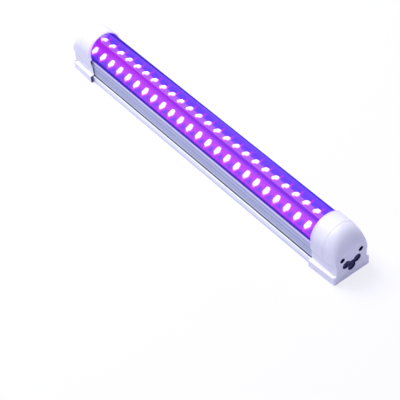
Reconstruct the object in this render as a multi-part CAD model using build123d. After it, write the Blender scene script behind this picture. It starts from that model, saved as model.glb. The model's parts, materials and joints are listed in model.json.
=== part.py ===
from build123d import *
import os
from math import cos, pi, radians, sin, sqrt

# A linkable batten lamp: a ribbed aluminium channel with a ridged roof, two rows of
# violet light-emitting diodes on it, a clear half-round cover and a moulded cap with
# a three-lobed mains socket at each end. X runs along the lamp, Z is up, and the
# origin is on the underside, halfway along. All sizes are in millimetres.

# Lamp as a whole
LAMP_LENGTH = 300.0
AXIS_HEIGHT = 24.6
FIT = 0.15

# Clear cover
COVER_RADIUS = 13.0
COVER_WALL = 1.2
COVER_EDGE_DROP = 6.0

# Channel
CHANNEL_INSET = 12.0
CHANNEL_WALL = 1.4
LIP_DROP = 4.1
LIP_WIDTH = 0.4
FOOT_PROUD = 1.5
FOOT_HEIGHT = 5.4
FOOT_CHAMFER = 0.4
SEAM_DEPTH = 0.8
SEAM_HEIGHT = 0.7
RIB_COUNT = 9
RIB_DEPTH = 0.3
RIB_MARGIN = 1.3
BELLY_WIDTH = 17.0
BELLY_DEPTH = 0.4
SLOT_FLOOR = 1.1

# Ridged roof that carries the two boards, with a screw port under each slope
ROOF_TILT = 22.0
ROOF_APEX_RISE = 0.2
ROOF_WALL = 1.3
PORT_RADIUS = 2.0
PORT_ANGLE = 33.0
PORT_BORE_RADIUS = 0.85

# Light boards and their diodes
RIDGE_GAP = 1.1
BOARD_WIDTH = 10.0
BOARD_THICKNESS = 1.0
BOARD_END_GAP = 0.5
TAPE_THICKNESS = 0.15
DIODE_SPACING = 10.6
DIODE_END_INSET = 2.35
ROW_STAGGER = 0.5
DIODE_ACROSS = 5.6
DIODE_ALONG = 3.6
DIODE_HEIGHT = 0.9
WINDOW_RIM = 0.5
WINDOW_DEPTH = 0.3
LINK_WIDTH = 2.4
LINK_THICKNESS = 0.3
LINK_REACH = 1.9
LINK_INSET = 2.2

# End caps
CAP_LENGTH = 24.5
CAP_WALL = 1.3
CAP_NECK_TAPER = 0.6
CAP_FOOT_TAPER = 1.1
CAP_END_WALL = 1.6
CAP_FLOOR = 1.6
CAP_DOME_LENGTH = 12.0
CAP_DOME_STEPS = 6
CAP_DOME_TAPER = 0.7
CAP_FACE_TOP_DROP = 1.4
CAP_SHOULDER_DROP = 7.6
CAP_SIDE_DROP = 9.2
CAP_NECK_WALL = 0.9
CAP_FOOT_WALL = 2.1
CAP_LEDGE_WALL = 0.8
CAP_FLANGE_LENGTH = 1.4
CAP_FLANGE_RISE = 1.2
CAP_CORNER = 0.8

# Cap screws and the sunk bosses that they sit in
SCREW_HEAD_RADIUS = 1.7
SCREW_HEAD_HEIGHT = 1.3
SCREW_HEAD_ROOM = 0.3
SCREW_LENGTH = 9.0
SCREW_SLACK = 0.05
SCREW_HOLE_ROOM = 0.3
SCREW_CROSS_WIDTH = 0.6
SCREW_CROSS_DEPTH = 0.6
BOSS_WALL = 0.9
BOSS_SEAT = 1.4

# Three-lobed mains socket
LOBE_RADIUS = 3.3
LOBE_SPREAD = 4.7
LOBE_DROP = 11.7
LOBE_RISE = 4.5
HUB_RADIUS = 2.9
SOCKET_DEPTH = 9.0
SOCKET_WALL = 0.9
SOCKET_BACK = 1.2
PIN_RADIUS = 0.9
PIN_REACH = 6.0
TAG_LENGTH = 1.2
TAG_WIDTH = 1.6
TAG_DROP = 2.6

# Driver board and its insulating sleeve
DRIVER_LENGTH = 92.0
DRIVER_WIDTH = 17.0
DRIVER_THICKNESS = 1.6
DRIVER_STANDOFF = 0.6
DRIVER_END_GAP = 14.0
SLEEVE_WALL = 0.3
SLEEVE_ROOM = 0.95
SLEEVE_OVERLAP = 2.0

# Parts on the driver board: each place is measured from the board's output end
LEAD_RADIUS = 0.35
FUSE_PLACE = 80.0
FUSE_RADIUS = 1.6
FUSE_LENGTH = 7.0
BRIDGE_PLACE = 71.0
BRIDGE_SIZE = (6.4, 8.4, 2.6)
FILM_PLACE = 62.0
FILM_LENGTH = 5.0
FILM_WIDTH = 12.0
FILM_SHORTER = 0.5
FILM_EDGE = 0.6
CAN_RADIUS = 4.0
CAN_HEAD_ROOM = 0.8
CAN_EDGE = 0.5
INPUT_CAN_PLACE = 51.0
OUTPUT_CAN_PLACE = 11.0
CHIP_PLACE = 41.0
CHIP_SIZE = (4.9, 3.9, 1.5)
CHIP_LEG_COUNT = 4
CHIP_LEG_PITCH = 1.27
CHIP_LEG_WIDTH = 0.4
CHIP_LEG_REACH = 1.0
CHIP_LEG_HEIGHT = 0.7
DIODE_PLACE = 34.0
DIODE_RADIUS = 1.35
DIODE_LENGTH = 5.0
COIL_PLACE = 24.0
COIL_FLANGE_RADIUS = 5.0
COIL_FLANGE_HEIGHT = 1.2
COIL_CORE_RADIUS = 2.4
COIL_WINDING_RADIUS = 4.3
COIL_HEIGHT = 9.0
RESISTOR_SIZE = (3.2, 1.6, 0.6)
RESISTOR_PLACES = (38.0, 45.0)
RESISTOR_OFFSETS = (-6.0, 6.0)

# Wires
WIRE_RADIUS = 0.65
WIRE_BEND = 2.0
WIRE_CLEAR = 0.05
TURN_ROOM = 4.0
FEED_INSET = 3.0
OUTPUT_INSET = 2.5
OUTPUT_RISE = 6.0
OUTPUT_STEP = 9.0
LEAD_SEAT = 1.2
LEAD_RISE = 2.0
LEAD_LOOP = 2.5
LEAD_REACH = 5.5
EARTH_LANE_RISE = 1.6

# Places that follow from the sizes above
cap_face = LAMP_LENGTH / 2
cap_mouth = cap_face - CAP_LENGTH
channel_end = cap_face - CHANNEL_INSET
cover_inner = COVER_RADIUS - COVER_WALL
slot_outer = COVER_RADIUS + FIT
slot_inner = cover_inner - FIT
cover_edge = AXIS_HEIGHT - COVER_EDGE_DROP
slot_bottom = cover_edge - FIT
lip_top = AXIS_HEIGHT - LIP_DROP
wall_half = sqrt(slot_outer ** 2 - LIP_DROP ** 2) + LIP_WIDTH
foot_half = wall_half + FOOT_PROUD
beyond = 2 * AXIS_HEIGHT
roof_apex = AXIS_HEIGHT + ROOF_APEX_RISE
tilt_cos = cos(radians(ROOF_TILT))
tilt_sin = sin(radians(ROOF_TILT))
port_reach = slot_inner - PORT_RADIUS
port_y = port_reach * cos(radians(PORT_ANGLE))
port_z = AXIS_HEIGHT - port_reach * sin(radians(PORT_ANGLE))
cavity_floor = BELLY_DEPTH + CHANNEL_WALL
cavity_half = wall_half - SEAM_DEPTH - CHANNEL_WALL / 2
cavity_top = slot_bottom - SLOT_FLOOR
column_half = port_y - PORT_RADIUS
board_end = channel_end - BOARD_END_GAP
board_top = TAPE_THICKNESS + BOARD_THICKNESS
diode_line = RIDGE_GAP + BOARD_WIDTH / 2
row_span = 2 * (board_end - DIODE_END_INSET)
diode_steps = round(row_span / DIODE_SPACING - ROW_STAGGER)
diode_pitch = row_span / (diode_steps + ROW_STAGGER)
cap_ledge = FOOT_HEIGHT + FIT + CAP_LEDGE_WALL
boss_radius = SCREW_HEAD_RADIUS + SCREW_HEAD_ROOM + BOSS_WALL
lobe_high = AXIS_HEIGHT - LOBE_DROP
lobe_low = lobe_high - LOBE_RISE
hub_height = (2 * lobe_high + lobe_low) / 3
socket_back = cap_face - SOCKET_DEPTH - SOCKET_BACK
tag_end = socket_back - TAG_LENGTH
driver_right = channel_end - DRIVER_END_GAP
driver_left = driver_right - DRIVER_LENGTH
driver_top = cavity_floor + SLEEVE_WALL + DRIVER_STANDOFF + DRIVER_THICKNESS
sleeve_inner = DRIVER_WIDTH / 2 + FIT
sleeve_half = sleeve_inner + SLEEVE_WALL
sleeve_top = cavity_top - SLEEVE_ROOM
can_height = sleeve_top - SLEEVE_WALL - CAN_HEAD_ROOM - driver_top
film_height = can_height - FILM_SHORTER
sleeve_right = driver_right + SLEEVE_OVERLAP
lane_y = (cavity_half + sleeve_half) / 2
lane_x = sleeve_right + WIRE_RADIUS

parts = {}


def across(points):
    """Face across the lamp from its corners, given in order as (y, z)."""
    return Plane.YZ * make_face(Polyline(*points, close=True))


def disc(radius, y, z):
    """Round face across the lamp."""
    return Plane.YZ * Pos(y, z) * Circle(radius)


def along(face, start, end):
    """Prism of a face across the lamp, from start to end."""
    return Pos(start, 0, 0) * extrude(face, amount=end - start, dir=(1, 0, 0))


def block(x, y, z, length, width, height):
    """Box centred on x and y that stands on z."""
    return Pos(x, y, z) * Box(length, width, height, align=(Align.CENTER, Align.CENTER, Align.MIN))


def upright(x, y, z, radius, height):
    """Round bar that stands on z."""
    return Pos(x, y, z) * Cylinder(radius, height, align=(Align.CENTER, Align.CENTER, Align.MIN))


def mirrored(points):
    """Outline from its right half, given from bottom to top."""
    return points + [(-y, z) for y, z in reversed(points) if y > 0]


def above(height):
    """Face of all that lies above a height."""
    return across([(-beyond, height), (beyond, height), (beyond, beyond), (-beyond, beyond)])


def on_roof(side, distance, height):
    """Point at a distance down one slope of the roof and a height off it."""
    y = distance * tilt_cos + height * tilt_sin
    z = roof_apex - distance * tilt_sin + height * tilt_cos
    return side * y, z


def roof_strip(side, inner, outer, low, high):
    """Face of a flat strip on one slope of the roof."""
    corners = [(inner, low), (outer, low), (outer, high), (inner, high)]
    return across([on_roof(side, distance, height) for distance, height in corners])


def roof_block(side, distance, low, length, width, height):
    """Box that lies on one slope of the roof, halfway along the lamp."""
    strip = roof_strip(side, distance - width / 2, distance + width / 2, low, low + height)
    return along(strip, -length / 2, length / 2)


def wire(points):
    """Round insulated wire along a route of straight runs joined by arcs."""
    route = FilletPolyline(*points, radius=WIRE_BEND)
    start = Plane(origin=points[0], z_dir=Vector(*points[1]) - Vector(*points[0]))
    return sweep(start * Circle(WIRE_RADIUS), path=route)


def channel_outline():
    """Outer outline of the channel up to its lips, with the foot, seam and ribs."""
    seam_half = wall_half - SEAM_DEPTH
    wall_low = FOOT_HEIGHT + SEAM_HEIGHT
    rib_low = wall_low + RIB_MARGIN
    pitch = (lip_top - RIB_MARGIN - rib_low) / RIB_COUNT
    points = [
        (BELLY_WIDTH / 2, BELLY_DEPTH),
        (BELLY_WIDTH / 2, 0),
        (foot_half, 0),
        (foot_half, FOOT_HEIGHT - FOOT_CHAMFER),
        (foot_half - FOOT_CHAMFER, FOOT_HEIGHT),
        (seam_half, FOOT_HEIGHT),
        (seam_half, wall_low),
        (wall_half, wall_low),
    ]
    for i in range(RIB_COUNT):
        points.append((wall_half, rib_low + i * pitch))
        points.append((wall_half - RIB_DEPTH, rib_low + (i + 0.5) * pitch))
    points.append((wall_half, lip_top - RIB_MARGIN))
    points.append((wall_half, lip_top))
    return mirrored(points)


def channel_section():
    """Cross-section of the channel."""
    fall = (roof_apex - slot_bottom) / tilt_sin
    roof = across([on_roof(-1, fall, 0), on_roof(1, fall, 0), (0, roof_apex)])
    ceiling = roof_apex - ROOF_WALL / tilt_cos
    cavity = across(mirrored([
        (cavity_half, cavity_floor),
        (cavity_half, cavity_top),
        (column_half, cavity_top),
        (column_half, ceiling - column_half * tilt_sin / tilt_cos),
        (0, ceiling),
    ]))
    section = across(channel_outline())
    section -= disc(slot_outer, 0, AXIS_HEIGHT) & above(slot_bottom)
    section += disc(slot_inner, 0, AXIS_HEIGHT) & roof
    section -= cavity
    for side in (-1, 1):
        section -= disc(PORT_BORE_RADIUS, side * port_y, port_z)
    return section


def clear_cover():
    """Half-round cover whose edges wrap round into the channel's slots."""
    ring = disc(COVER_RADIUS, 0, AXIS_HEIGHT) - disc(cover_inner, 0, AXIS_HEIGHT)
    return along(ring & above(cover_edge), -channel_end, channel_end)


def diode_places(side):
    """Where the diodes of one row sit along the lamp: the rows are staggered."""
    middle = (diode_steps + side * ROW_STAGGER) / 2
    return [(i - middle) * diode_pitch for i in range(diode_steps + 1)]


def light_row(side, name):
    """One board with its tape, its diode packages and their clear windows."""
    outer = RIDGE_GAP + BOARD_WIDTH
    tape = roof_strip(side, RIDGE_GAP, outer, 0, TAPE_THICKNESS)
    board = roof_strip(side, RIDGE_GAP, outer, TAPE_THICKNESS, board_top)
    parts[name + "_thermal_tape"] = along(tape, -board_end, board_end)
    parts[name + "_light_board"] = along(board, -board_end, board_end)
    length = DIODE_ALONG - 2 * WINDOW_RIM
    width = DIODE_ACROSS - 2 * WINDOW_RIM
    base = board_top + DIODE_HEIGHT - WINDOW_DEPTH
    window = roof_block(side, diode_line, base, length, width, WINDOW_DEPTH)
    body = roof_block(side, diode_line, board_top, DIODE_ALONG, DIODE_ACROSS, DIODE_HEIGHT)
    body -= window
    places = diode_places(side)
    parts[name + "_diode_bodies"] = Compound([Pos(x, 0, 0) * body for x in places])
    parts[name + "_diode_windows"] = Compound([Pos(x, 0, 0) * window for x in places])


def board_link():
    """Bent strip that joins the two boards over the ridge."""
    reach = RIDGE_GAP + LINK_REACH
    top = board_top + LINK_THICKNESS
    low = [on_roof(-1, reach, board_top), (0, roof_apex + board_top / tilt_cos)]
    low.append(on_roof(1, reach, board_top))
    high = [on_roof(1, reach, top), (0, roof_apex + top / tilt_cos), on_roof(-1, reach, top)]
    end = board_end - LINK_INSET + LINK_WIDTH / 2
    return along(across(low + high), end - LINK_WIDTH, end)


def arch(x, half, bottom, spring, top):
    """Face across the lamp at x with straight sides and an elliptical top."""
    sides = [Line((-half, spring), (-half, bottom)), Line((-half, bottom), (half, bottom))]
    sides.append(Line((half, bottom), (half, spring)))
    sides.append(EllipticalCenterArc((0, spring), half, top - spring, arc_size=180))
    return Plane.YZ.offset(x) * make_face(sides)


def dome(inset, bottom, length):
    """Rounded end of a cap, from full height down to the top of its flat face."""
    sections = []
    face_top = AXIS_HEIGHT - CAP_FACE_TOP_DROP
    shoulder = AXIS_HEIGHT - CAP_SHOULDER_DROP
    full = slot_outer + CAP_WALL
    for i in range(CAP_DOME_STEPS + 1):
        turn = i / CAP_DOME_STEPS * pi / 2
        x = cap_face - CAP_DOME_LENGTH + length * sin(turn)
        half = full - CAP_DOME_TAPER * (1 - cos(turn)) - inset
        spring = shoulder + (AXIS_HEIGHT - shoulder) * cos(turn)
        top = face_top + (AXIS_HEIGHT + full - face_top) * cos(turn) - inset
        sections.append(arch(x, half, bottom, spring, top))
    return loft(sections)


def foot_and_neck(taper, flange):
    """Lower outline of a cap, narrowed by a share of its taper, with its foot raised by flange."""
    foot = foot_half + FIT + CAP_FOOT_WALL - taper * CAP_FOOT_TAPER
    neck = wall_half + FIT + CAP_NECK_WALL - taper * CAP_NECK_TAPER
    height = cap_ledge + flange
    shoulder = AXIS_HEIGHT - CAP_SHOULDER_DROP
    return across(mirrored([(foot, 0), (foot, height), (neck, height), (neck, shoulder)]))


def cap_shell():
    """Outside of a cap: tapered foot and neck, flange, half-round sleeve and dome."""
    side_bottom = AXIS_HEIGHT - CAP_SIDE_DROP
    full = slot_outer + CAP_WALL
    flange_start = cap_face - CAP_FLANGE_LENGTH
    mouth = Pos(cap_mouth, 0, 0) * foot_and_neck(0, 0)
    lower = loft([mouth, Pos(flange_start, 0, 0) * foot_and_neck(1, 0)], ruled=True)
    flange = along(foot_and_neck(1, CAP_FLANGE_RISE), flange_start, cap_face)
    corners = flange.edges().filter_by(Axis.Z).group_by(Axis.X)[-1]
    outer = [edge for edge in corners if edge.center().Z < cap_ledge]
    flange = fillet(outer, CAP_CORNER)
    sleeve = arch(0, full, side_bottom, AXIS_HEIGHT, AXIS_HEIGHT + full)
    shell = lower + flange + along(sleeve, cap_mouth, cap_face - CAP_DOME_LENGTH)
    return shell + dome(0, side_bottom, CAP_DOME_LENGTH)


def lobes(grow):
    """Three-lobed outline of the socket, grown outwards."""
    face = disc(HUB_RADIUS + grow, 0, hub_height) + disc(LOBE_RADIUS + grow, 0, lobe_low)
    for side in (-1, 1):
        face += disc(LOBE_RADIUS + grow, side * LOBE_SPREAD, lobe_high)
    return face


def end_cap():
    """Cap at the right end, hollow over the channel and behind its face."""
    shell = cap_shell()
    pocket = across(mirrored([
        (foot_half + FIT, 0),
        (foot_half + FIT, FOOT_HEIGHT + FIT),
        (wall_half + FIT, FOOT_HEIGHT + FIT),
        (wall_half + FIT, AXIS_HEIGHT),
    ]))
    pocket += disc(slot_outer, 0, AXIS_HEIGHT)
    inner_face = cap_face - CAP_END_WALL
    room_half = wall_half + FIT - CAP_NECK_TAPER
    shoulder = AXIS_HEIGHT - CAP_SHOULDER_DROP
    cap = shell - along(pocket, cap_mouth, channel_end)
    room = across(mirrored([(room_half, CAP_FLOOR), (room_half, shoulder)]))
    hollow = along(room, channel_end, inner_face)
    hollow += dome(CAP_WALL, shoulder - CAP_WALL, CAP_DOME_LENGTH - CAP_END_WALL)
    cap -= hollow
    for side in (-1, 1):
        boss = along(disc(boss_radius, side * port_y, port_z), channel_end, cap_face)
        cap += boss & shell
    seat = channel_end + BOSS_SEAT
    for side in (-1, 1):
        cap -= along(disc(SCREW_HEAD_RADIUS + SCREW_HEAD_ROOM, side * port_y, port_z), seat, cap_face)
        cap -= along(disc(PORT_BORE_RADIUS + SCREW_HOLE_ROOM, side * port_y, port_z), channel_end, seat)
    return cap - along(lobes(0), inner_face, cap_face)


def socket():
    """Closed-backed insert behind the face of the right cap."""
    inner_face = cap_face - CAP_END_WALL
    body = along(lobes(SOCKET_WALL), socket_back, inner_face)
    body -= along(lobes(0), socket_back + SOCKET_BACK, inner_face)
    for y, z in pin_places():
        body -= along(disc(PIN_RADIUS, y, z), socket_back, socket_back + SOCKET_BACK)
    return body


def pin_places():
    """Line, neutral and earth pins of a socket, as (y, z)."""
    return [(LOBE_SPREAD, lobe_high), (-LOBE_SPREAD, lobe_high), (0, lobe_low)]


def socket_pins():
    """Three round pins, each with a flat solder tag at its back."""
    pins = []
    for y, z in pin_places():
        pin = along(disc(PIN_RADIUS, y, z), tag_end, socket_back + SOCKET_BACK + PIN_REACH)
        tag = block((tag_end + socket_back) / 2, y, z - TAG_DROP, TAG_LENGTH, TAG_WIDTH, TAG_DROP)
        pins.append(pin + tag)
    return Compound(pins)


def cap_screw(side):
    """Small cross-head screw that holds the right cap to the channel."""
    seat = channel_end + BOSS_SEAT
    top = seat + SCREW_HEAD_HEIGHT
    screw = along(disc(SCREW_HEAD_RADIUS, side * port_y, port_z), seat, top)
    screw += along(disc(PORT_BORE_RADIUS - SCREW_SLACK, side * port_y, port_z), seat - SCREW_LENGTH, seat)
    arm = 2 * SCREW_HEAD_RADIUS - SCREW_CROSS_WIDTH
    for width, height in ((arm, SCREW_CROSS_WIDTH), (SCREW_CROSS_WIDTH, arm)):
        base = port_z - height / 2
        screw -= block(top - SCREW_CROSS_DEPTH / 2, side * port_y, base, SCREW_CROSS_DEPTH, width, height)
    return screw


def at_left(shape):
    """The same piece at the other end of the lamp."""
    return mirror(shape, about=Plane.YZ)


def leaded_body(place, radius, length):
    """Round part that lies across the driver board on two bent leads."""
    x = driver_left + place
    lift = driver_top + radius
    body = Pos(x, 0, lift) * Rot(90, 0, 0) * Cylinder(radius, length)
    reach = length / 2 + 2 * LEAD_RADIUS
    body += Pos(x, 0, lift) * Rot(90, 0, 0) * Cylinder(LEAD_RADIUS, 2 * reach + 2 * LEAD_RADIUS)
    for side in (-1, 1):
        body += upright(x, side * reach, driver_top, LEAD_RADIUS, radius)
    return body


def can(place):
    """Upright electrolytic capacitor."""
    body = upright(driver_left + place, 0, driver_top, CAN_RADIUS, can_height)
    return fillet(body.edges().group_by(Axis.Z)[-1], CAN_EDGE)


def driver_chip():
    """Control chip with four legs on each side."""
    length, width, height = CHIP_SIZE
    x = driver_left + CHIP_PLACE
    chip = block(x, 0, driver_top, length, width, height)
    span = width + 2 * CHIP_LEG_REACH
    for i in range(CHIP_LEG_COUNT):
        place = x + (i - (CHIP_LEG_COUNT - 1) / 2) * CHIP_LEG_PITCH
        chip += block(place, 0, driver_top, CHIP_LEG_WIDTH, span, CHIP_LEG_HEIGHT)
    return chip


def coil():
    """Choke: a drum core and the winding on it."""
    x = driver_left + COIL_PLACE
    upper = driver_top + COIL_HEIGHT - COIL_FLANGE_HEIGHT
    core = upright(x, 0, driver_top, COIL_FLANGE_RADIUS, COIL_FLANGE_HEIGHT)
    core += upright(x, 0, driver_top, COIL_CORE_RADIUS, COIL_HEIGHT)
    core += upright(x, 0, upper, COIL_FLANGE_RADIUS, COIL_FLANGE_HEIGHT)
    winding_base = driver_top + COIL_FLANGE_HEIGHT
    winding = upright(x, 0, winding_base, COIL_WINDING_RADIUS, upper - winding_base)
    winding -= upright(x, 0, winding_base, COIL_CORE_RADIUS, upper - winding_base)
    return core, winding


def driver_parts():
    """Everything on the driver board, with the board and its sleeve."""
    middle = (driver_left + driver_right) / 2
    parts["driver_board"] = block(
        middle, 0, driver_top - DRIVER_THICKNESS, DRIVER_LENGTH, DRIVER_WIDTH, DRIVER_THICKNESS)
    tube = DRIVER_LENGTH + 2 * SLEEVE_OVERLAP
    sleeve = block(middle, 0, cavity_floor, tube, 2 * sleeve_half, sleeve_top - cavity_floor)
    inside = sleeve_top - cavity_floor - 2 * SLEEVE_WALL
    sleeve -= block(middle, 0, cavity_floor + SLEEVE_WALL, tube, 2 * sleeve_inner, inside)
    parts["insulating_sleeve"] = sleeve
    parts["fuse"] = leaded_body(FUSE_PLACE, FUSE_RADIUS, FUSE_LENGTH)
    parts["bridge_rectifier"] = block(driver_left + BRIDGE_PLACE, 0, driver_top, *BRIDGE_SIZE)
    film = block(driver_left + FILM_PLACE, 0, driver_top, FILM_LENGTH, FILM_WIDTH, film_height)
    edges = film.edges().filter_by(Axis.Z) + film.edges().group_by(Axis.Z)[-1]
    parts["film_capacitor"] = fillet(edges, FILM_EDGE)
    parts["input_capacitor"] = can(INPUT_CAN_PLACE)
    parts["output_capacitor"] = can(OUTPUT_CAN_PLACE)
    parts["driver_chip"] = driver_chip()
    parts["blocking_diode"] = leaded_body(DIODE_PLACE, DIODE_RADIUS, DIODE_LENGTH)
    parts["choke_core"], parts["choke_winding"] = coil()
    chips = []
    for place in RESISTOR_PLACES:
        for offset in RESISTOR_OFFSETS:
            chips.append(block(driver_left + place, offset, driver_top, *RESISTOR_SIZE))
    parts["driver_resistors"] = Compound(chips)


def through_wire(y, z, lane, lane_z):
    """Mains wire from a pin of one socket to the same pin of the other."""
    turn = tag_end - TURN_ROOM
    half = [(tag_end, y, z), (turn, y, z), (lane_x, lane, lane_z)]
    return wire(half + [(-point[0], point[1], point[2]) for point in reversed(half)])


def feed_wire(side):
    """Wire from a mains pin's solder tag down to the driver board."""
    y = side * LOBE_SPREAD
    z = lobe_high - TAG_DROP + WIRE_RADIUS
    x = driver_right - FEED_INSET
    return wire([(tag_end, y, z), (x, y, z), (x, y, driver_top)])


def light_wire(side):
    """Wire from the driver board's output, out past the channel's end and up to a board."""
    y, z = on_roof(side, RIDGE_GAP + LEAD_SEAT, board_top + WIRE_RADIUS + WIRE_CLEAR)
    x = driver_left + OUTPUT_INSET
    rise = driver_top + OUTPUT_RISE
    outside = -channel_end - LEAD_LOOP
    height = sleeve_top + LEAD_RISE
    return wire([
        (x, y, driver_top),
        (x, y, rise),
        (x - OUTPUT_STEP, y, rise),
        (x - 2 * OUTPUT_STEP, y, height),
        (outside, y, height),
        (outside, y, z),
        (outside + LEAD_REACH, y, z),
    ])


def wiring():
    """All the wires in the channel."""
    parts["through_line_wire"] = through_wire(LOBE_SPREAD, lobe_high, lane_y, lobe_high)
    parts["through_neutral_wire"] = through_wire(-LOBE_SPREAD, lobe_high, -lane_y, lobe_high)
    parts["through_earth_wire"] = through_wire(0, lobe_low, -lane_y, cavity_floor + EARTH_LANE_RISE)
    parts["line_feed_wire"] = feed_wire(1)
    parts["neutral_feed_wire"] = feed_wire(-1)
    parts["positive_light_wire"] = light_wire(1)
    parts["negative_light_wire"] = light_wire(-1)


parts["base_channel"] = along(channel_section(), -channel_end, channel_end)
parts["clear_cover"] = clear_cover()
light_row(-1, "front")
light_row(1, "rear")
parts["board_link"] = board_link()
parts["right_end_cap"] = end_cap()
parts["right_socket"] = socket()
parts["right_socket_pins"] = socket_pins()
for piece in ("end_cap", "socket", "socket_pins"):
    parts["left_" + piece] = at_left(parts["right_" + piece])
right_screws = [cap_screw(side) for side in (-1, 1)]
parts["cap_screws"] = Compound(right_screws + [at_left(screw) for screw in right_screws])
driver_parts()
wiring()

os.makedirs("parts", exist_ok=True)
for name, shape in parts.items():
    export_step(shape, "parts/" + name + ".step")
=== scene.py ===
"""Dressed model of a violet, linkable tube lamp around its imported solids."""
import json
import logging
import math
from collections.abc import Callable, Sequence
from dataclasses import dataclass, field
from enum import Enum
from functools import reduce

import bmesh
import bpy
from mathutils import Matrix, Vector


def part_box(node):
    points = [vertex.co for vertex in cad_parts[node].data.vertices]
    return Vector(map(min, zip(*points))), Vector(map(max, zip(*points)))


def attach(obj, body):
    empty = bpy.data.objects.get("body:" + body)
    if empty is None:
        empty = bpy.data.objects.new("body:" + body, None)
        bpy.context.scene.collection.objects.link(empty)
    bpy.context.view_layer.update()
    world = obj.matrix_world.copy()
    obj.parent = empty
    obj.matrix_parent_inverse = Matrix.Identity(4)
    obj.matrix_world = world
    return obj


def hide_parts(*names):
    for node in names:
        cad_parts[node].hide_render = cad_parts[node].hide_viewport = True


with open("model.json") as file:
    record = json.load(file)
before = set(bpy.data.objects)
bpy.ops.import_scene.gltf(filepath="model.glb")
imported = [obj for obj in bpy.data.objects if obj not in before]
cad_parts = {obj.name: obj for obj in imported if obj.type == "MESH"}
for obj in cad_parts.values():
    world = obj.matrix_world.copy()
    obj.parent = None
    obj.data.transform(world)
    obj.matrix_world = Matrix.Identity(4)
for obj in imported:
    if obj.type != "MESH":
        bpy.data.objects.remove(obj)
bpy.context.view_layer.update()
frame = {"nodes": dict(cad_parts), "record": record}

LOG = logging.getLogger("tube_lamp")
MM = 0.001
BODY = "root"
BLACK = (0, 0, 0)
MERGE = 0.0005 * MM  # Vertices closer than this become one.

Point = tuple[float, float, float]
Flat = tuple[float, float]
Span = tuple[float, float]
Colour = tuple[int, int, int]
Zone = tuple[tuple[str, float, float], ...]
Socket = bpy.types.NodeSocket
Material = bpy.types.Material
Piece = bpy.types.Object
Ring = Sequence[bmesh.types.BMVert]


class Side(Enum):
    """Long side of the lamp: the sign of its Y."""

    FRONT = -1
    REAR = 1


class End(Enum):
    """End of the lamp: the sign of its X."""

    LEFT = -1
    RIGHT = 1


class Texture(Enum):
    """Fine surface left by how a piece was made."""

    MOULDED = (0.9, 0.9, 0.9)
    DRAWN = (0.012, 1.6, 1.6)
    WOVEN = (1.0, 0.35, 1.0)


def linear(colour: Colour) -> tuple[float, float, float, float]:
    """Screen colour as the linear colour that a shader socket takes."""
    values = [c / 255 for c in colour]
    return (*(v / 12.92 if v <= 0.04045 else ((v + 0.055) / 1.055) ** 2.4 for v in values), 1.0)


def smoothstep(value: float, low: float, high: float) -> float:
    """Smooth rise from 0 at low to 1 at high."""
    t = min(max((value - low) / (high - low), 0.0), 1.0)
    return t * t * (3 - 2 * t)


def rounding(depth: float, radius: float) -> float:
    """How far a rounded edge falls back, at a depth past the start of its arc."""
    share = min(max(depth / radius, 0.0), 1.0)
    return radius * (1 - math.sqrt(1 - share * share))


class Nodes:
    """Maker of nodes in one tree."""

    def __init__(self, tree: bpy.types.NodeTree) -> None:
        """Keeps the tree."""
        self.tree = tree

    def feed(self, socket: Socket, value: object) -> None:
        """Links an output to an input, or sets the input to a value.

        Args:
            socket: The input.
            value: An output, a screen colour or another plain value.
        """
        if isinstance(value, Socket):
            self.tree.links.new(value, socket)
        else:
            socket.default_value = linear(value) if isinstance(value, tuple) else value

    def add(self, kind: str, inputs: dict[str | int, object], **settings: object) -> bpy.types.Node:
        """Adds a node.

        Args:
            kind: The node's type.
            inputs: Each input's name or number and what feeds it.
            **settings: The node's properties.

        Returns:
            The new node.
        """
        node = self.tree.nodes.new(kind)
        for name, value in settings.items():
            setattr(node, name, value)
        for label, value in inputs.items():
            self.feed(node.inputs[label], value)
        return node

    def math(self, operation: str, *values: object) -> Socket:
        """Result of a Math node on sockets or numbers."""
        return self.add("ShaderNodeMath", dict(enumerate(values)), operation=operation).outputs[0]

    def times(self, *values: object) -> Socket:
        """Product of sockets or numbers."""
        return reduce(lambda product, value: self.math("MULTIPLY", product, value), values)

    def length(self, *parts: Socket) -> Socket:
        """Length of a line from its parts along two axes."""
        return self.math("SQRT", self.math("ADD", *(self.times(part, part) for part in parts)))

    def blend(self, share: object, first: object, second: object) -> Socket:
        """Mixes two colours, given as sockets or screen colours."""
        return self.add("ShaderNodeMix", {0: share, 6: first, 7: second}, data_type="RGBA").outputs[2]


# Finishes


@dataclass(frozen=True)
class Layer:
    """Colour laid over what is below it.

    Its zone gives for each coordinate's name where the colour starts and where it is full.
    """

    colour: Colour
    zone: Zone
    amount: float = 1.0


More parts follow.
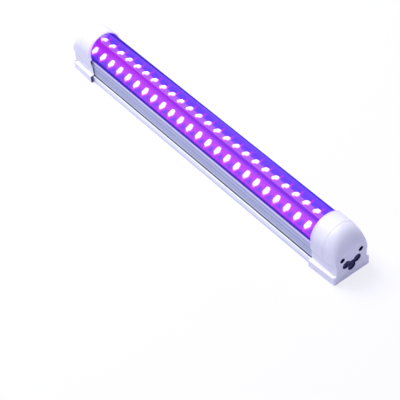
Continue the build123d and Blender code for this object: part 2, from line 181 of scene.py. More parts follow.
class Shading(Nodes):
    """One material's nodes, with the lamp's own coordinates in millimetres by name."""

    def __init__(self, name: str) -> None:
        """Starts a material.

        Args:
            name: The material's name.
        """
        self.material = bpy.data.materials.new(name)
        self.material.use_nodes = True
        super().__init__(self.material.node_tree)
        self.surface = self.tree.nodes["Principled BSDF"]
        local = self.add("ShaderNodeTexCoord", {}).outputs["Object"]
        scaled = self.add("ShaderNodeVectorMath", {}, operation="SCALE")
        self.feed(scaled.inputs[0], local)
        self.feed(scaled.inputs["Scale"], 1 / MM)
        self.place = scaled.outputs[0]
        x, y, z = self.add("ShaderNodeSeparateXYZ", {0: self.place}).outputs
        self.at: dict[str, Socket] = {"x": x, "y": y, "z": z}
        self.at |= {"along": self.math("ABSOLUTE", x), "flat": self.math("ABSOLUTE", y)}

    def put(self, name: str, value: object) -> None:
        """Feeds one of the shader's own sockets."""
        self.feed(self.surface.inputs[name], value)

    def spread(self, name: str, low: float, high: float) -> Socket:
        """Smooth 0 to 1 as a named coordinate goes from low to high."""
        inputs = {"Value": self.at[name], "From Min": low, "From Max": high}
        return self.add("ShaderNodeMapRange", inputs, interpolation_type="SMOOTHSTEP").outputs[0]

    def inside(self, zone: Zone) -> Socket:
        """Share that is 1 in the full part of a zone and 0 outside it."""
        return self.times(*(self.spread(*limits) for limits in zone))

    def offset(self, name: str, start: float, source: Socket) -> None:
        """Names a coordinate that is another one counted from a start."""
        self.at[name] = self.math("SUBTRACT", source, start)

    def lay(self, colour: object, *layers: Layer) -> Socket:
        """Lays layers over a first colour.

        Args:
            colour: The first colour.
            *layers: The layers, the lowest first.

        Returns:
            The colour's socket.
        """
        for layer in layers:
            share = self.inside(layer.zone)
            share = share if layer.amount == 1.0 else self.times(share, layer.amount)
            colour = self.blend(share, colour, layer.colour)
        return colour

    def ramp(self, name: str, stops: Sequence[tuple[float, Colour]]) -> Socket:
        """Colour from a named coordinate.

        Args:
            name: The coordinate that picks the colour.
            stops: Pairs of a value and its colour, in rising order.

        Returns:
            The colour's socket.
        """
        low, high = stops[0][0], stops[-1][0]
        share = self.math("DIVIDE", self.math("SUBTRACT", self.at[name], low), high - low)
        node = self.add("ShaderNodeValToRGB", {0: share})
        elements = node.color_ramp.elements
        while len(elements) < len(stops):
            elements.new(1.0)
        for element, (place, colour) in zip(elements, stops):
            element.position = (place - low) / (high - low)
            element.color = linear(colour)
        return node.outputs[0]

    def radius(self, axis: float) -> Socket:
        """Distance from a line along the lamp at a height."""
        return self.length(self.at["y"], self.math("SUBTRACT", self.at["z"], axis))

    def noise(self, texture: Texture, scale: float, detail: float = 3.0) -> Socket:
        """Noise stretched as a texture says.

        Args:
            texture: How the surface was made.
            scale: Cells to the millimetre.
            detail: How many finer layers the noise has.

        Returns:
            The noise's socket.
        """
        stretched = self.add("ShaderNodeMapping", {"Vector": self.place, "Scale": Vector(texture.value)})
        inputs = {"Vector": stretched.outputs[0], "Scale": scale, "Detail": detail}
        return self.add("ShaderNodeTexNoise", inputs).outputs[0]

    def roughen(self, noise: Socket, span: Span) -> None:
        """Lets the roughness wander between two values."""
        wander = self.add("ShaderNodeMapRange", {"Value": noise, "To Min": span[0], "To Max": span[1]})
        self.put("Roughness", wander.outputs[0])

    def bump(self, height: Socket, depth: float) -> None:
        """Bumps the surface by up to a depth in millimetres."""
        inputs = {"Strength": 1.0, "Distance": depth * MM, "Height": height}
        self.put("Normal", self.add("ShaderNodeBump", inputs).outputs[0])

    def glow(self, colour: object, strength: float = 1.0) -> None:
        """Makes the surface shine with a colour."""
        self.put("Emission Color", colour)
        self.put("Emission Strength", strength)


@dataclass(frozen=True)
class Finish:
    """Finish of one material."""

    name: str

    def make(self) -> Material:
        """Builds the material.

        Returns:
            The finished material.
        """
        shading = Shading(self.name)
        self.dress(shading)
        return shading.material

    def dress(self, shading: Shading) -> None:
        """Gives the material its look, in each kind of finish its own."""
        raise NotImplementedError


@dataclass(frozen=True)
class Plain(Finish):
    """Plastic, metal or film with the fine surface of how it was made."""

    colour: Colour
    second: Colour
    texture: Texture = Texture.MOULDED
    roughness: Span = (0.3, 0.5)
    metallic: float = 0.0
    grain: float = 2.5
    clouding: float = 2.5 / 9
    depth: float = 0.02
    # Painted glow colour, for parts that stand in the rows' light.
    lit: Colour = BLACK

    def dress(self, shading: Shading) -> None:
        """Gives the material its look.

        Args:
            shading: The material's nodes.
        """
        fine = shading.noise(self.texture, self.grain)
        broad = shading.noise(self.texture, self.clouding, 2.0)
        shading.put("Base Color", shading.blend(broad, self.colour, self.second))
        shading.put("Metallic", self.metallic)
        shading.roughen(fine, self.roughness)
        shading.bump(fine, self.depth)
        shading.glow(self.lit)


@dataclass(frozen=True)
class CapPlastic(Finish):
    """White satin moulding, dark with painted shadow in the gap at its mouth and tinted by painted light
    beside it.

    Its zones also count "depth" from the mouth and "gap" from the cover's room outwards.
    """

    mouth: float
    axis: float
    inner_radius: float
    colour: Colour = (243, 243, 250)
    # Faint painted shade: the colour rises from this one at the bottom to the full colour higher up; the
    # random clouding uses it too.
    low_colour: Colour = (243, 242, 250)
    rise: Span = (1.0, 22.0)
    clouding: float = 0.12
    cloud_share: float = 0.25
    grain: float = 3.4
    depth: float = 0.012
    roughness: Span = (0.32, 0.46)
    # Painted light: the lamp's violet light laid on the cap just past its mouth, above the slots.
    painted_light_spill: Layer = Layer((226, 210, 255), (("depth", 2.6, 0.0), ("z", 19.0, 26.0)))
    cover_heights: Zone = (("z", 20.4, 21.6),)
    beside_cover: Zone = (("gap", 0.45, 0.15),)
    mouth_depth: Zone = (("depth", 0.22, 0.04),)
    # Painted shadow in the narrow gap at the mouth: dark below the cover, and violet where the cover's light
    # reaches it.
    painted_gap_shadow: Colour = (50, 48, 104)
    painted_violet_gap_shade: Colour = (112, 84, 214)
    violet_gap_shade_heights: Span = (20.0, 21.4)
    # Painted highlight: the ledge's top on the outside is laid pure white, as if in full light.
    painted_ledge_highlight: Layer = Layer((255, 255, 255), (("z", 6.0, 6.3), ("z", 7.9, 7.7), ("flat", 13.25, 13.55)))
    # Painted shade in a soft band just under the sleeve's edge, and a painted highlight on the sleeve's rim
    # above it.
    painted_shade_under_sleeve: Layer = Layer((186, 182, 224), (
        ("z", 12.8, 15.1), ("z", 15.5, 15.1), ("flat", 12.6, 13.2), ("along", 148.0, 144.0)), 0.9)
    painted_sleeve_rim_highlight: Layer = Layer((255, 255, 255), (
        ("z", 17.8, 16.2), ("z", 15.3, 16.2), ("flat", 12.6, 13.2), ("along", 148.0, 144.0)), 0.8)
    # Painted shade darkening the walls of the socket's and screws' holes in the face.
    holes: Layer = Layer((30, 25, 84), (
        ("along", 149.68, 149.56), ("along", 139.0, 139.1), ("flat", 10.3, 10.2), ("z", 4.9, 5.0),
        ("z", 21.6, 21.5)))
    # Painted glow, though the cap is no lamp: a pale glow on the mouth's face, none beside the cover, and
    # violet light in the pocket.
    painted_glow_layers: tuple[Layer, ...] = (
        Layer((168, 160, 204), (("depth", 0.3, 0.1), ("z", 20.4, 21.6))),
        Layer(BLACK, (("gap", 0.45, 0.15),)),
        Layer((104, 66, 243), (("gap", 0.2, 0.05), ("z", 20.4, 21.6), ("depth", 14.0, 0.0))),
    )
    inner_light: float = 0.05
    inner_light_depth: float = 1.2
    gloss: float = 0.12
    gloss_roughness: float = 0.25

    def dress(self, shading: Shading) -> None:
        """Gives the material its look.

        Args:
            shading: The material's nodes.
        """
        shading.offset("depth", self.mouth, shading.at["along"])
        shading.offset("gap", self.inner_radius, shading.radius(self.axis))
        broad = shading.noise(Texture.MOULDED, self.clouding, 2.0)
        fine = shading.noise(Texture.MOULDED, self.grain)
        body = shading.blend(shading.spread("z", *self.rise), self.low_colour, self.colour)
        body = shading.blend(shading.times(broad, self.cloud_share), body, self.low_colour)
        body = shading.lay(body, self.painted_light_spill)
        # Painted shadow: the ring at the mouth, beside the cover or below it, takes the painted gap shade.
        below_cover = shading.math("SUBTRACT", 1.0, shading.inside(self.cover_heights))
        ring = shading.math("MAXIMUM", shading.inside(self.beside_cover), below_cover)
        ring = shading.times(ring, shading.inside(self.mouth_depth))
        gap = shading.blend(shading.spread("z", *self.violet_gap_shade_heights), self.painted_gap_shadow, self.painted_violet_gap_shade)
        body = shading.blend(ring, body, gap)
        # Painted highlights on the ledge and sleeve rim, painted shade under the sleeve and in the holes.
        body = shading.lay(body, self.painted_ledge_highlight, self.painted_shade_under_sleeve, self.painted_sleeve_rim_highlight, self.holes)
        shading.put("Base Color", body)
        shading.glow(shading.lay(BLACK, *self.painted_glow_layers))
        shading.put("Subsurface Weight", self.inner_light)
        shading.put("Subsurface Scale", self.inner_light_depth * MM)
        shading.put("Coat Weight", self.gloss)
        shading.put("Coat Roughness", self.gloss_roughness)
        shading.roughen(fine, self.roughness)
        shading.bump(fine, self.depth)


@dataclass(frozen=True)
class AnodisedAluminium(Finish):
    """Satin anodised extrusion, brighter on its feet by painted highlight and dark in its seam by painted
    shadow.
    """

    # Painted light and shade by height: a darker bottom edge, a painted highlight on the foot, painted light
    # and shade bands up the ribbed wall, a painted violet light strip under the lip and a painted dark blue
    # edge on the lip's top.
    painted_light_shade_heights: tuple[tuple[float, Colour], ...] = (
        (0.0, (196, 199, 216)), (1.0, (216, 219, 234)), (2.4, (244, 246, 254)), (5.45, (252, 253, 255)),
        (6.2, (186, 191, 216)), (7.6, (206, 211, 231)), (8.8, (160, 167, 202)), (10.4, (176, 183, 214)),
        (11.4, (200, 206, 230)), (12.4, (150, 158, 196)), (13.8, (176, 183, 216)), (15.0, (204, 209, 233)),
        (16.2, (158, 165, 203)), (17.6, (180, 186, 219)), (18.4, (228, 224, 254)), (20.4, (232, 222, 255)),
        (20.5, (66, 44, 162)), (21.0, (66, 44, 162)),
    )
    grain: float = 3.0
    grain_colour: Colour = (140, 146, 184)
    grain_share: float = 0.2
    streaks: float = 0.35
    streak_colour: Colour = (250, 250, 255)
    streak_share: float = 0.12
    # Painted shadow in the seam's groove, laid wider than the groove itself.
    seam: Layer = Layer((52, 56, 108), (("z", 5.16, 5.36), ("z", 6.2, 6.0), ("flat", 13.4, 13.2)))
    metallic: float = 0.4
    roughness: Span = (0.34, 0.52)
    depth: float = 0.015

    def dress(self, shading: Shading) -> None:
        """Gives the material its look.

        Args:
            shading: The material's nodes.
        """
        lines = shading.noise(Texture.DRAWN, self.grain, 4.0)
        broad = shading.noise(Texture.DRAWN, self.streaks, 2.0)
        colour = shading.ramp("z", self.painted_light_shade_heights)
        colour = shading.blend(shading.times(lines, self.grain_share), colour, self.grain_colour)
        colour = shading.blend(shading.times(broad, self.streak_share), colour, self.streak_colour)
        shading.put("Base Color", shading.lay(colour, self.seam))
        shading.put("Metallic", self.metallic)
        shading.roughen(lines, self.roughness)
        shading.bump(lines, self.depth)


@dataclass(frozen=True)
class DiodeGrid:
    """Where the diodes of both rows are, as coordinates that a finish can follow."""

    pitch: float
    stagger: float
    line: float
    tilt: float
    half_along: float = 1.8
    half_across: float = 2.8

    def along(self, shading: Shading, lean: object) -> Socket:
        """Distance along the lamp to the nearest diode on the same side.

        Args:
            shading: The material's nodes.
            lean: How far the place is moved along the lamp first.

        Returns:
            The distance's socket.
        """
        moved = shading.math("SUBTRACT", shading.at["x"], lean)
        shifted = shading.math("MULTIPLY_ADD", shading.math("SIGN", shading.at["y"]), self.stagger, moved)
        centred = shading.math("SUBTRACT", shifted, self.pitch / 2)
        return shading.math("ABSOLUTE", shading.math("WRAP", centred, self.pitch / 2, -self.pitch / 2))

    def name_places(self, shading: Shading) -> None:
        """Names "away" along the lamp, "down" the slope, and "reach": 1 at the diode's edge.

        Args:
            shading: The material's nodes.
        """
        away, past = self.along(shading, 0.0), shading.math("SUBTRACT", shading.at["flat"], self.line)
        down = shading.math("DIVIDE", past, math.cos(self.tilt))
        pairs = ((away, self.half_along), (down, self.half_across))
        reach = shading.length(*(shading.math("DIVIDE", *pair) for pair in pairs))
        shading.at |= {"away": away, "down": down, "reach": reach}


@dataclass(frozen=True)
class RowGlow(Finish):
    """Painted violet light on whatever lies under the cover, with a painted halo and a painted light tail at
    each diode.
    """

    grid: DiodeGrid
    strength: float = 1.0
    dim: float = 0.97
    # Painted light across the lamp: deep blue at the edges, magenta round the rows and violet between them.
    across: tuple[tuple[float, Colour], ...] = (
        (-13.6, (54, 30, 190)), (-11.6, (66, 42, 246)), (-10.2, (88, 44, 246)), (-9.2, (146, 50, 245)),
        (-7.8, (196, 60, 249)), (-5.2, (202, 62, 249)), (-3.0, (188, 52, 246)), (-1.3, (158, 44, 240)),
        (-0.5, (136, 40, 236)), (0.5, (132, 40, 236)), (1.3, (146, 50, 238)), (3.2, (164, 62, 241)),
        (6.0, (170, 66, 243)), (8.6, (128, 62, 243)), (10.2, (104, 64, 244)), (12.2, (92, 60, 240)),
        (13.6, (52, 34, 170)),
    )
    wave_turn: float = 2.9
    # Painted light: the layers below change the painted glow with a warmer lip, light streaks, a deeper
    # ridge, blue patches, and a light tail, halo and bloom at each diode.
    warm_lip: Layer = Layer((186, 48, 246), (("y", -7.6, -9.6), ("x", -150.0, -10.0)))
    streaks: Layer = Layer((222, 146, 252), (("wave", 0.35, 0.95), ("y", 1.6, 2.4), ("y", 8.4, 7.0)))
    far_ridge: Layer = Layer((190, 34, 236), (("x", 50.0, -110.0), ("flat", 2.8, 0.6)), 0.85)
    blue_patches: Layer = Layer(
        (98, 56, 243), (("away", 2.4, 4.9), ("down", -1.8, 1.6), ("down", 4.6, 3.0), ("y", 0.0, -2.0)), 0.8)
    painted_light_tails: Layer = Layer((236, 66, 250), (("away", 1.5, 0.1), ("down", 1.4, 3.0), ("down", 7.0, 3.6)))
    halo: Layer = Layer((226, 92, 253), (("reach", 1.7, 1.1),))
    bloom: Layer = Layer((253, 232, 255), (("reach", 1.26, 1.02),))
    mottle: float = 0.5
    mottle_colour: Colour = (120, 44, 232)
    mottle_share: float = 0.1
    gloss: float = 0.1
    roughness: Span = (0.35, 0.5)

    def dress(self, shading: Shading) -> None:
        """Gives the material its look.

        Args:
            shading: The material's nodes.
        """
        self.grid.name_places(shading)
        shading.at["wave"] = shading.math("SINE", shading.times(shading.at["y"], self.wave_turn))
        mottle = shading.noise(Texture.MOULDED, self.mottle)
        colour = shading.lay(
            shading.ramp("y", self.across), self.warm_lip, self.streaks, self.far_ridge, self.blue_patches,
            self.painted_light_tails, self.halo, self.bloom)
        colour = shading.blend(shading.times(mottle, self.mottle_share), colour, self.mottle_colour)
        shading.put("Base Color", shading.blend(self.dim, colour, BLACK))
        shading.put("Specular IOR Level", self.gloss)
        shading.roughen(mottle, self.roughness)
        shading.glow(colour, self.strength)


@dataclass(frozen=True)
class DiodeLight(Finish):
    """Lit diode: white-hot in the middle and pink towards its corners."""

    grid: DiodeGrid
    strength: float = 1.0
    core: Colour = (255, 252, 255)
    rim: Layer = Layer((232, 104, 253), (("reach", 0.96, 1.24),))
    grain: float = 1.4
    grain_share: float = 0.05
    dim: float = 0.6
    roughness: Span = (0.2, 0.3)

    def dress(self, shading: Shading) -> None:
        """Gives the material its look.

        Args:
            shading: The material's nodes.
        """
        self.grid.name_places(shading)
        grain = shading.noise(Texture.MOULDED, self.grain)
        colour = shading.lay(self.core, self.rim)
        colour = shading.blend(shading.times(grain, self.grain_share), colour, self.rim.colour)
        shading.put("Base Color", shading.blend(self.dim, colour, BLACK))
        shading.roughen(grain, self.roughness)
        shading.glow(colour, self.strength)


@dataclass(frozen=True)
class ClearShell(Finish):
    """Clear polycarbonate whose walls fill with painted blue light where they are seen at a grazing angle.

    Its zones also count "wall" outwards from the middle of the wall, "facing", which is 0 face on and 1
    edge on, and "spike" along the lamp from each diode, leaning with the height.
    """

    grid: DiodeGrid
    axis: float
    middle_radius: float
    clear: float = 0.03
    # Painted blue light in the low walls, standing in for the lit board's reflection: strong at the rear,
    # faint at the front.
    rear: Zone = (("y", 10.6, 12.0), ("facing", 0.27, 0.37))
    rear_share: float = 0.93
    front: Zone = (("y", -11.6, -12.9),)
    front_share: float = 0.14
    # Painted dark blue edge where the wall is seen edge on and along the front lip.
    grazing: Zone = (("facing", 0.65, 0.76), ("wall", -0.1, 0.1))
    front_lip: Zone = (("z", 20.95, 20.6), ("y", 1.0, -1.0))
    veil: Colour = (110, 66, 241)
    edge: Colour = (58, 30, 170)
    body: Colour = (24, 14, 84)
    # Painted reflections of the diodes on the inner wall, as magenta streaks rising from each one.
    painted_reflection_spikes: Layer = Layer((196, 62, 246), (("spike", 1.3, 0.2), ("z", 25.4, 21.4), ("y", 9.0, 10.0)))
    spike_foot: float = 21.4
    spike_lean: float = 0.6
    bend: float = 1.3
    gloss: float = 0.08
    grain: float = 1.2
    grain_depth: float = 0.004
    roughness: Span = (0.06, 0.08)
    edge_roughness: float = 0.8

    def dress(self, shading: Shading) -> None:
        """Gives the material its look.

        Args:
            shading: The material's nodes.
        """
        lines = shading.noise(Texture.DRAWN, self.grain, 2.0)
        shading.at["facing"] = shading.add("ShaderNodeLayerWeight", {"Blend": 0.5}).outputs["Facing"]
        shading.offset("wall", self.middle_radius, shading.radius(self.axis))
        lean = shading.times(shading.math("SUBTRACT", shading.at["z"], self.spike_foot), self.spike_lean)
        shading.at["spike"] = self.grid.along(shading, lean)
        dark = shading.math("MAXIMUM", shading.inside(self.grazing), shading.inside(self.front_lip))
        rear = shading.times(shading.inside(self.rear), self.rear_share)
        front = shading.times(shading.inside(self.front), self.front_share)
        veil = shading.math("ADD", shading.math("ADD", rear, front), self.clear)
        shading.put("Alpha", shading.math("MAXIMUM", veil, dark))
        shading.put("Base Color", shading.blend(veil, self.body, self.edge))
        shading.put("IOR", self.bend)
        shading.put("Specular IOR Level", self.gloss)
        low, more = self.roughness
        rough = shading.math("MULTIPLY_ADD", lines, more, low)
        shading.put("Roughness", shading.math("MULTIPLY_ADD", dark, self.edge_roughness, rough))
        shading.bump(lines, self.grain_depth)
        shading.glow(shading.blend(dark, shading.lay(self.veil, self.painted_reflection_spikes), self.edge))


# Mesh making


def add_object(name: str, data: bpy.types.ID) -> Piece:
    """Adds an object to the scene.

    Args:
        name: The object's name.
        data: Its mesh, light or camera.

    Returns:
        The new object.
    """
    piece = bpy.data.objects.new(name, data)
    bpy.context.scene.collection.objects.link(piece)
    return piece


def smooth(mesh: bpy.types.Mesh, sharp: float) -> None:
    """Shades a mesh smoothly, but for edges past an angle in degrees."""
    mesh.shade_smooth()
    mesh.set_sharp_from_angle(angle=math.radians(sharp))


def freeze(piece: Piece) -> None:
    """Turns a piece's modifiers into plain mesh and removes them.

    Args:
        piece: The piece.
    """
    bpy.context.view_layer.update()
    graph = bpy.context.evaluated_depsgraph_get()
    evaluated = piece.evaluated_get(graph)
    mesh = bpy.data.meshes.new_from_object(evaluated, preserve_all_data_layers=True, depsgraph=graph)
    piece.modifiers.clear()
    piece.data = mesh


def level_flats(piece: Piece) -> None:
    """Lets large faces rule the shading, so that flats look flat beside their rounded edges.

    Args:
        piece: The piece.
    """
    modifier = piece.modifiers.new("level_flats", "WEIGHTED_NORMAL")
    modifier.mode = "FACE_AREA"
    modifier.keep_sharp = True
    freeze(piece)


def cut(piece: Piece, cutters: Sequence[Piece], sharp: float) -> None:
    """Takes cutters away from a piece and removes them.

    Args:
        piece: The piece to cut.
        cutters: Closed meshes, deleted afterwards.
        sharp: Angle in degrees past which an edge stays sharp.
    """
    for cutter in cutters:
        modifier = piece.modifiers.new("cut", "BOOLEAN")
        modifier.operation = "DIFFERENCE"
        modifier.solver = "EXACT"
        modifier.object = cutter
    freeze(piece)
    piece.data.set_sharp_from_angle(angle=math.radians(sharp))
    for cutter in cutters:
        bpy.data.objects.remove(cutter)


def hand_over(piece: Piece, slot: str, *nodes: str) -> None:
    """Lets a finished piece ride on the lamp in place of the named solids.

    Args:
        piece: The piece.
        slot: The record's material slot; not used.
        *nodes: The solids that it stands for.
    """
    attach(piece, BODY)
    if nodes:
        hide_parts(*nodes)
    faces = len(piece.data.polygons)
    LOG.info("%s: %d faces, stands for %s", piece.name, faces, ", ".join(nodes) or "nothing")


class MeshMaker:
    """Gathers rings and faces in millimetres and turns them into one closed piece."""

    def __init__(self) -> None:
        """Starts an empty mesh."""
        self.mesh = bmesh.new()

    def ring(self, points: Sequence[Point]) -> Ring:
        """Adds a ring of vertices."""
        return [self.mesh.verts.new(Vector(point) * MM) for point in points]

    def fill(self, *rings: Ring) -> None:
        """Closes a flat face.

        Args:
            *rings: Its outline, and then its holes.
        """
        edges = []
        for ring in rings:
            for pair in zip(ring, (*ring[1:], ring[0])):
                edges.append(self.mesh.edges.get(pair) or self.mesh.edges.new(pair))
        bmesh.ops.triangle_fill(self.mesh, use_beauty=True, edges=edges)

    def loft(self, outlines: Sequence[Sequence[Point]], closed: bool = False) -> list[Ring]:
        """Adds rings and joins each to the next.

        Args:
            outlines: The rings' points, in order.
            closed: Whether both ends are filled.

        Returns:
            The rings' vertices.
        """
        rings = [self.ring(points) for points in outlines]
        for first, second in zip(rings, rings[1:]):
            for i in range(len(first)):
                j = (i + 1) % len(first)
                self.mesh.faces.new((first[i], first[j], second[j], second[i]))
        if closed:
            self.fill(rings[0])
            self.fill(rings[-1])
        return rings

    def finish(self, name: str, materials: Sequence[Material], sharp: float = 32.0) -> Piece:
        """Turns what was gathered into a piece with outward faces.

        Args:
            name: The piece's name.
            materials: Its materials, the main one first.
            sharp: Angle in degrees past which an edge stays sharp.

        Returns:
            The new piece.
        """
        bmesh.ops.remove_doubles(self.mesh, verts=self.mesh.verts, dist=MERGE)
        bmesh.ops.recalc_face_normals(self.mesh, faces=self.mesh.faces)
        mesh = bpy.data.meshes.new(name)
        self.mesh.to_mesh(mesh)
        self.mesh.free()
        for material in materials:
            mesh.materials.append(material)
        smooth(mesh, sharp)
        return add_object(name, mesh)


def solid(name: str, outlines: Sequence[Sequence[Point]], materials: Sequence[Material] = (),
          sharp: float = 32.0) -> Piece:
    """Closed piece lofted through outlines.

    Args:
        name: The piece's name.
        outlines: The rings' points, in order.
        materials: Its materials, the main one first.
        sharp: Angle in degrees past which an edge stays sharp.

    Returns:
        The new piece.
    """
    maker = MeshMaker()
    maker.loft(outlines, closed=True)
    return maker.finish(name, materials, sharp)


def at(x: float, outline: Sequence[Flat]) -> list[Point]:
    """Puts an outline across the lamp at a place along it."""
    return [(x, y, z) for y, z in outline]


def mirrored(half: Sequence[Flat]) -> list[Flat]:
    """Whole outline from its right half, given from bottom to top."""
    return list(half) + [(-y, z) for y, z in reversed(half) if abs(y) > 1e-6]


def arc(centre: Flat, radius: float, start: float, stop: float, steps: int) -> list[Flat]:
    """Points on an arc across the lamp, from one angle to another."""
    turns = [start + (stop - start) * i / steps for i in range(steps + 1)]
    return [(centre[0] + radius * math.cos(turn), centre[1] + radius * math.sin(turn)) for turn in turns]


def circle(y: float, z: float, radius: float) -> list[Flat]:
    """Circle across the lamp."""
    return arc((y, z), radius, 0.0, 2 * math.pi, 40)[:-1]


def rounded(corners: Sequence[tuple[float, float, float]], closed: bool = True) -> list[Flat]:
    """Outline whose corners are arcs of three faces.

    Args:
        corners: Each corner as (y, z, radius).
        closed: Whether the last corner leads back to the first.

    Returns:
        The outline's points. An open outline keeps its two end corners as they are.
    """
    steps = 3
    points: list[Flat] = []
    for i, (y, z, radius) in enumerate(corners):
        here = Vector((y, z))
        if radius <= 0 or (not closed and i in (0, len(corners) - 1)):
            points.append((y, z))
            continue
        before = (Vector(corners[i - 1][:2]) - here).normalized()
        after = (Vector(corners[(i + 1) % len(corners)][:2]) - here).normalized()
        angle = before.angle(after)
        reach = radius / math.tan(angle / 2)
        centre = here + (before + after).normalized() * radius / math.sin(angle / 2)
        start, end = here + before * reach - centre, here + after * reach - centre
        turn = math.pi - angle
        for step in range(steps + 1):
            t = step / steps
            arm = (start * math.sin((1 - t) * turn) + end * math.sin(t * turn)) / math.sin(turn)
            points.append(tuple(centre + arm))
    return points


def inset(outline: Sequence[Flat], amount: float) -> list[Flat]:
    """Moves the points of a closed outline inwards, square to the outline.

    Args:
        outline: The points, counter-clockwise as (y, z).
        amount: How far they go.

    Returns:
        The moved points.
    """
    moved = []
    for i, (y, z) in enumerate(outline):
        before, after = outline[i - 1], outline[(i + 1) % len(outline)]
        run = Vector((after[0] - before[0], after[1] - before[1])).normalized()
        moved.append((y - run.y * amount, z + run.x * amount))
    return moved


# Geometry Nodes


class NodePattern(Nodes):
    """Geometry Nodes tree with named inputs, run once on an empty mesh."""

    def __init__(self, name: str, inputs: dict[str, str]) -> None:
        """Starts a tree.

        Args:
            name: The tree's name.
            inputs: Each input's name and socket type.
        """
        super().__init__(bpy.data.node_groups.new(name, "GeometryNodeTree"))
        self.tree.is_modifier = True
        sockets = self.tree.interface
        sockets.new_socket("Geometry", in_out="INPUT", socket_type="NodeSocketGeometry")
        sockets.new_socket("Geometry", in_out="OUTPUT", socket_type="NodeSocketGeometry")
        self.keys = {
            label: sockets.new_socket(label, in_out="INPUT", socket_type=kind).identifier
            for label, kind in inputs.items()
        }
        self.source = self.tree.nodes.new("NodeGroupInput")
        self.target = self.tree.nodes.new("NodeGroupOutput")

    def feed(self, socket: Socket, value: object) -> None:
        """Feeds an input, from the tree's own input where the value is that one's name."""
        super().feed(socket, self.source.outputs[value] if isinstance(value, str) else value)

    def end(self, geometry: Socket) -> None:
        """Ends the tree in Realize Instances and Set Material.

        Args:
            geometry: What the tree has made.
        """
        real = self.add("GeometryNodeRealizeInstances", {"Geometry": geometry})
        dressed = self.add("GeometryNodeSetMaterial", {"Geometry": real.outputs[0], "Material": "Finish"})
        self.feed(self.target.inputs[0], dressed.outputs[0])

    def run(self, name: str, values: dict[str, object], sharp: float = 32.0) -> Piece:
        """Runs the tree and keeps its result as a plain mesh.

        Args:
            name: The new piece's name.
            values: Each input's name and value.
            sharp: Angle in degrees past which an edge stays sharp.

        Returns:
            The piece.
        """
        piece = add_object(name, bpy.data.meshes.new(name))
        modifier = piece.modifiers.new(self.tree.name, "NODES")
        modifier.node_group = self.tree
        for label, value in values.items():
            modifier[self.keys[label]] = value
        freeze(piece)
        smooth(piece.data, sharp)
        return piece


def line_pattern() -> NodePattern:
    """Tree that repeats a template in even steps along a straight line.

    Returns:
        The tree.
    """
    pattern = NodePattern("repeat_in_line", {
        "Template": "NodeSocketObject",
        "Count": "NodeSocketInt",
        "Start": "NodeSocketVector",
        "Step": "NodeSocketVector",
        "Finish": "NodeSocketMaterial",
    })
    places = {"Count": "Count", "Start Location": "Start", "Offset": "Step"}
    line = pattern.add("GeometryNodeMeshLine", places, mode="OFFSET")
    template = pattern.add("GeometryNodeObjectInfo", {"Object": "Template"}, transform_space="ORIGINAL")
    parts = {"Points": line.outputs[0], "Instance": template.outputs["Geometry"]}
    pattern.end(pattern.add("GeometryNodeInstanceOnPoints", parts).outputs[0])
    return pattern


def winding_pattern(layers: int) -> NodePattern:
    """Tree that winds wire in layers round an upright core.

    Args:
        layers: How many layers lie on each other.

    Returns:
        The tree.
    """
    pattern = NodePattern("wind_in_layers", {
        **dict.fromkeys(("Inner Radius", "Wire Radius", "Height", "Turns"), "NodeSocketFloat"),
        "Base": "NodeSocketVector",
        "Finish": "NodeSocketMaterial",
    })
    profile = pattern.add("GeometryNodeCurvePrimitiveCircle", {"Radius": "Wire Radius", "Resolution": 8})
    joined = pattern.add("GeometryNodeJoinGeometry", {})
    for layer in range(layers):
        radius = pattern.math("MULTIPLY_ADD", "Wire Radius", 2.0 * layer, "Inner Radius")
        turn = pattern.add("GeometryNodeCurveSpiral", {
            "Resolution": 20,
            "Rotations": "Turns",
            "Start Radius": radius,
            "End Radius": radius,
            "Height": "Height",
        })
        wire = pattern.add("GeometryNodeCurveToMesh", {
            "Curve": turn.outputs[0], "Profile Curve": profile.outputs[0], "Fill Caps": True})
        pattern.feed(joined.inputs[0], wire.outputs[0])
    placed = pattern.add("GeometryNodeTransform", {"Geometry": joined.outputs[0], "Translation": "Base"})
    pattern.end(placed.outputs[0])
    return pattern


# Sub-assemblies


@dataclass
class LampSizes:
    """Sizes that the sub-assemblies share, in millimetres."""

    half_length: float = 150.0
    axis: float = 24.6
    channel_end: float = 138.0
    cap_mouth: float = 125.5
    cover_radius: float = 13.0
    fit: float = 0.15
    tilt: float = math.radians(22.0)
    apex: float = 24.8
    pitch: float = 10.6
    diodes: int = 26
    diode_line: float = 6.1
    board_top: float = 1.15
    port_y: float = 8.093
    port_z: float = 19.344
    wall_half: float = 12.894
    foot_half: float = 14.394
    foot_height: float = 5.4

    def on_roof(self, side: Side, distance: float, height: float) -> Flat:
        """Point at a distance down one slope of the roof and a height off it."""
        sin, cos = math.sin(self.tilt), math.cos(self.tilt)
        return side.value * (distance * cos + height * sin), self.apex - distance * sin + height * cos


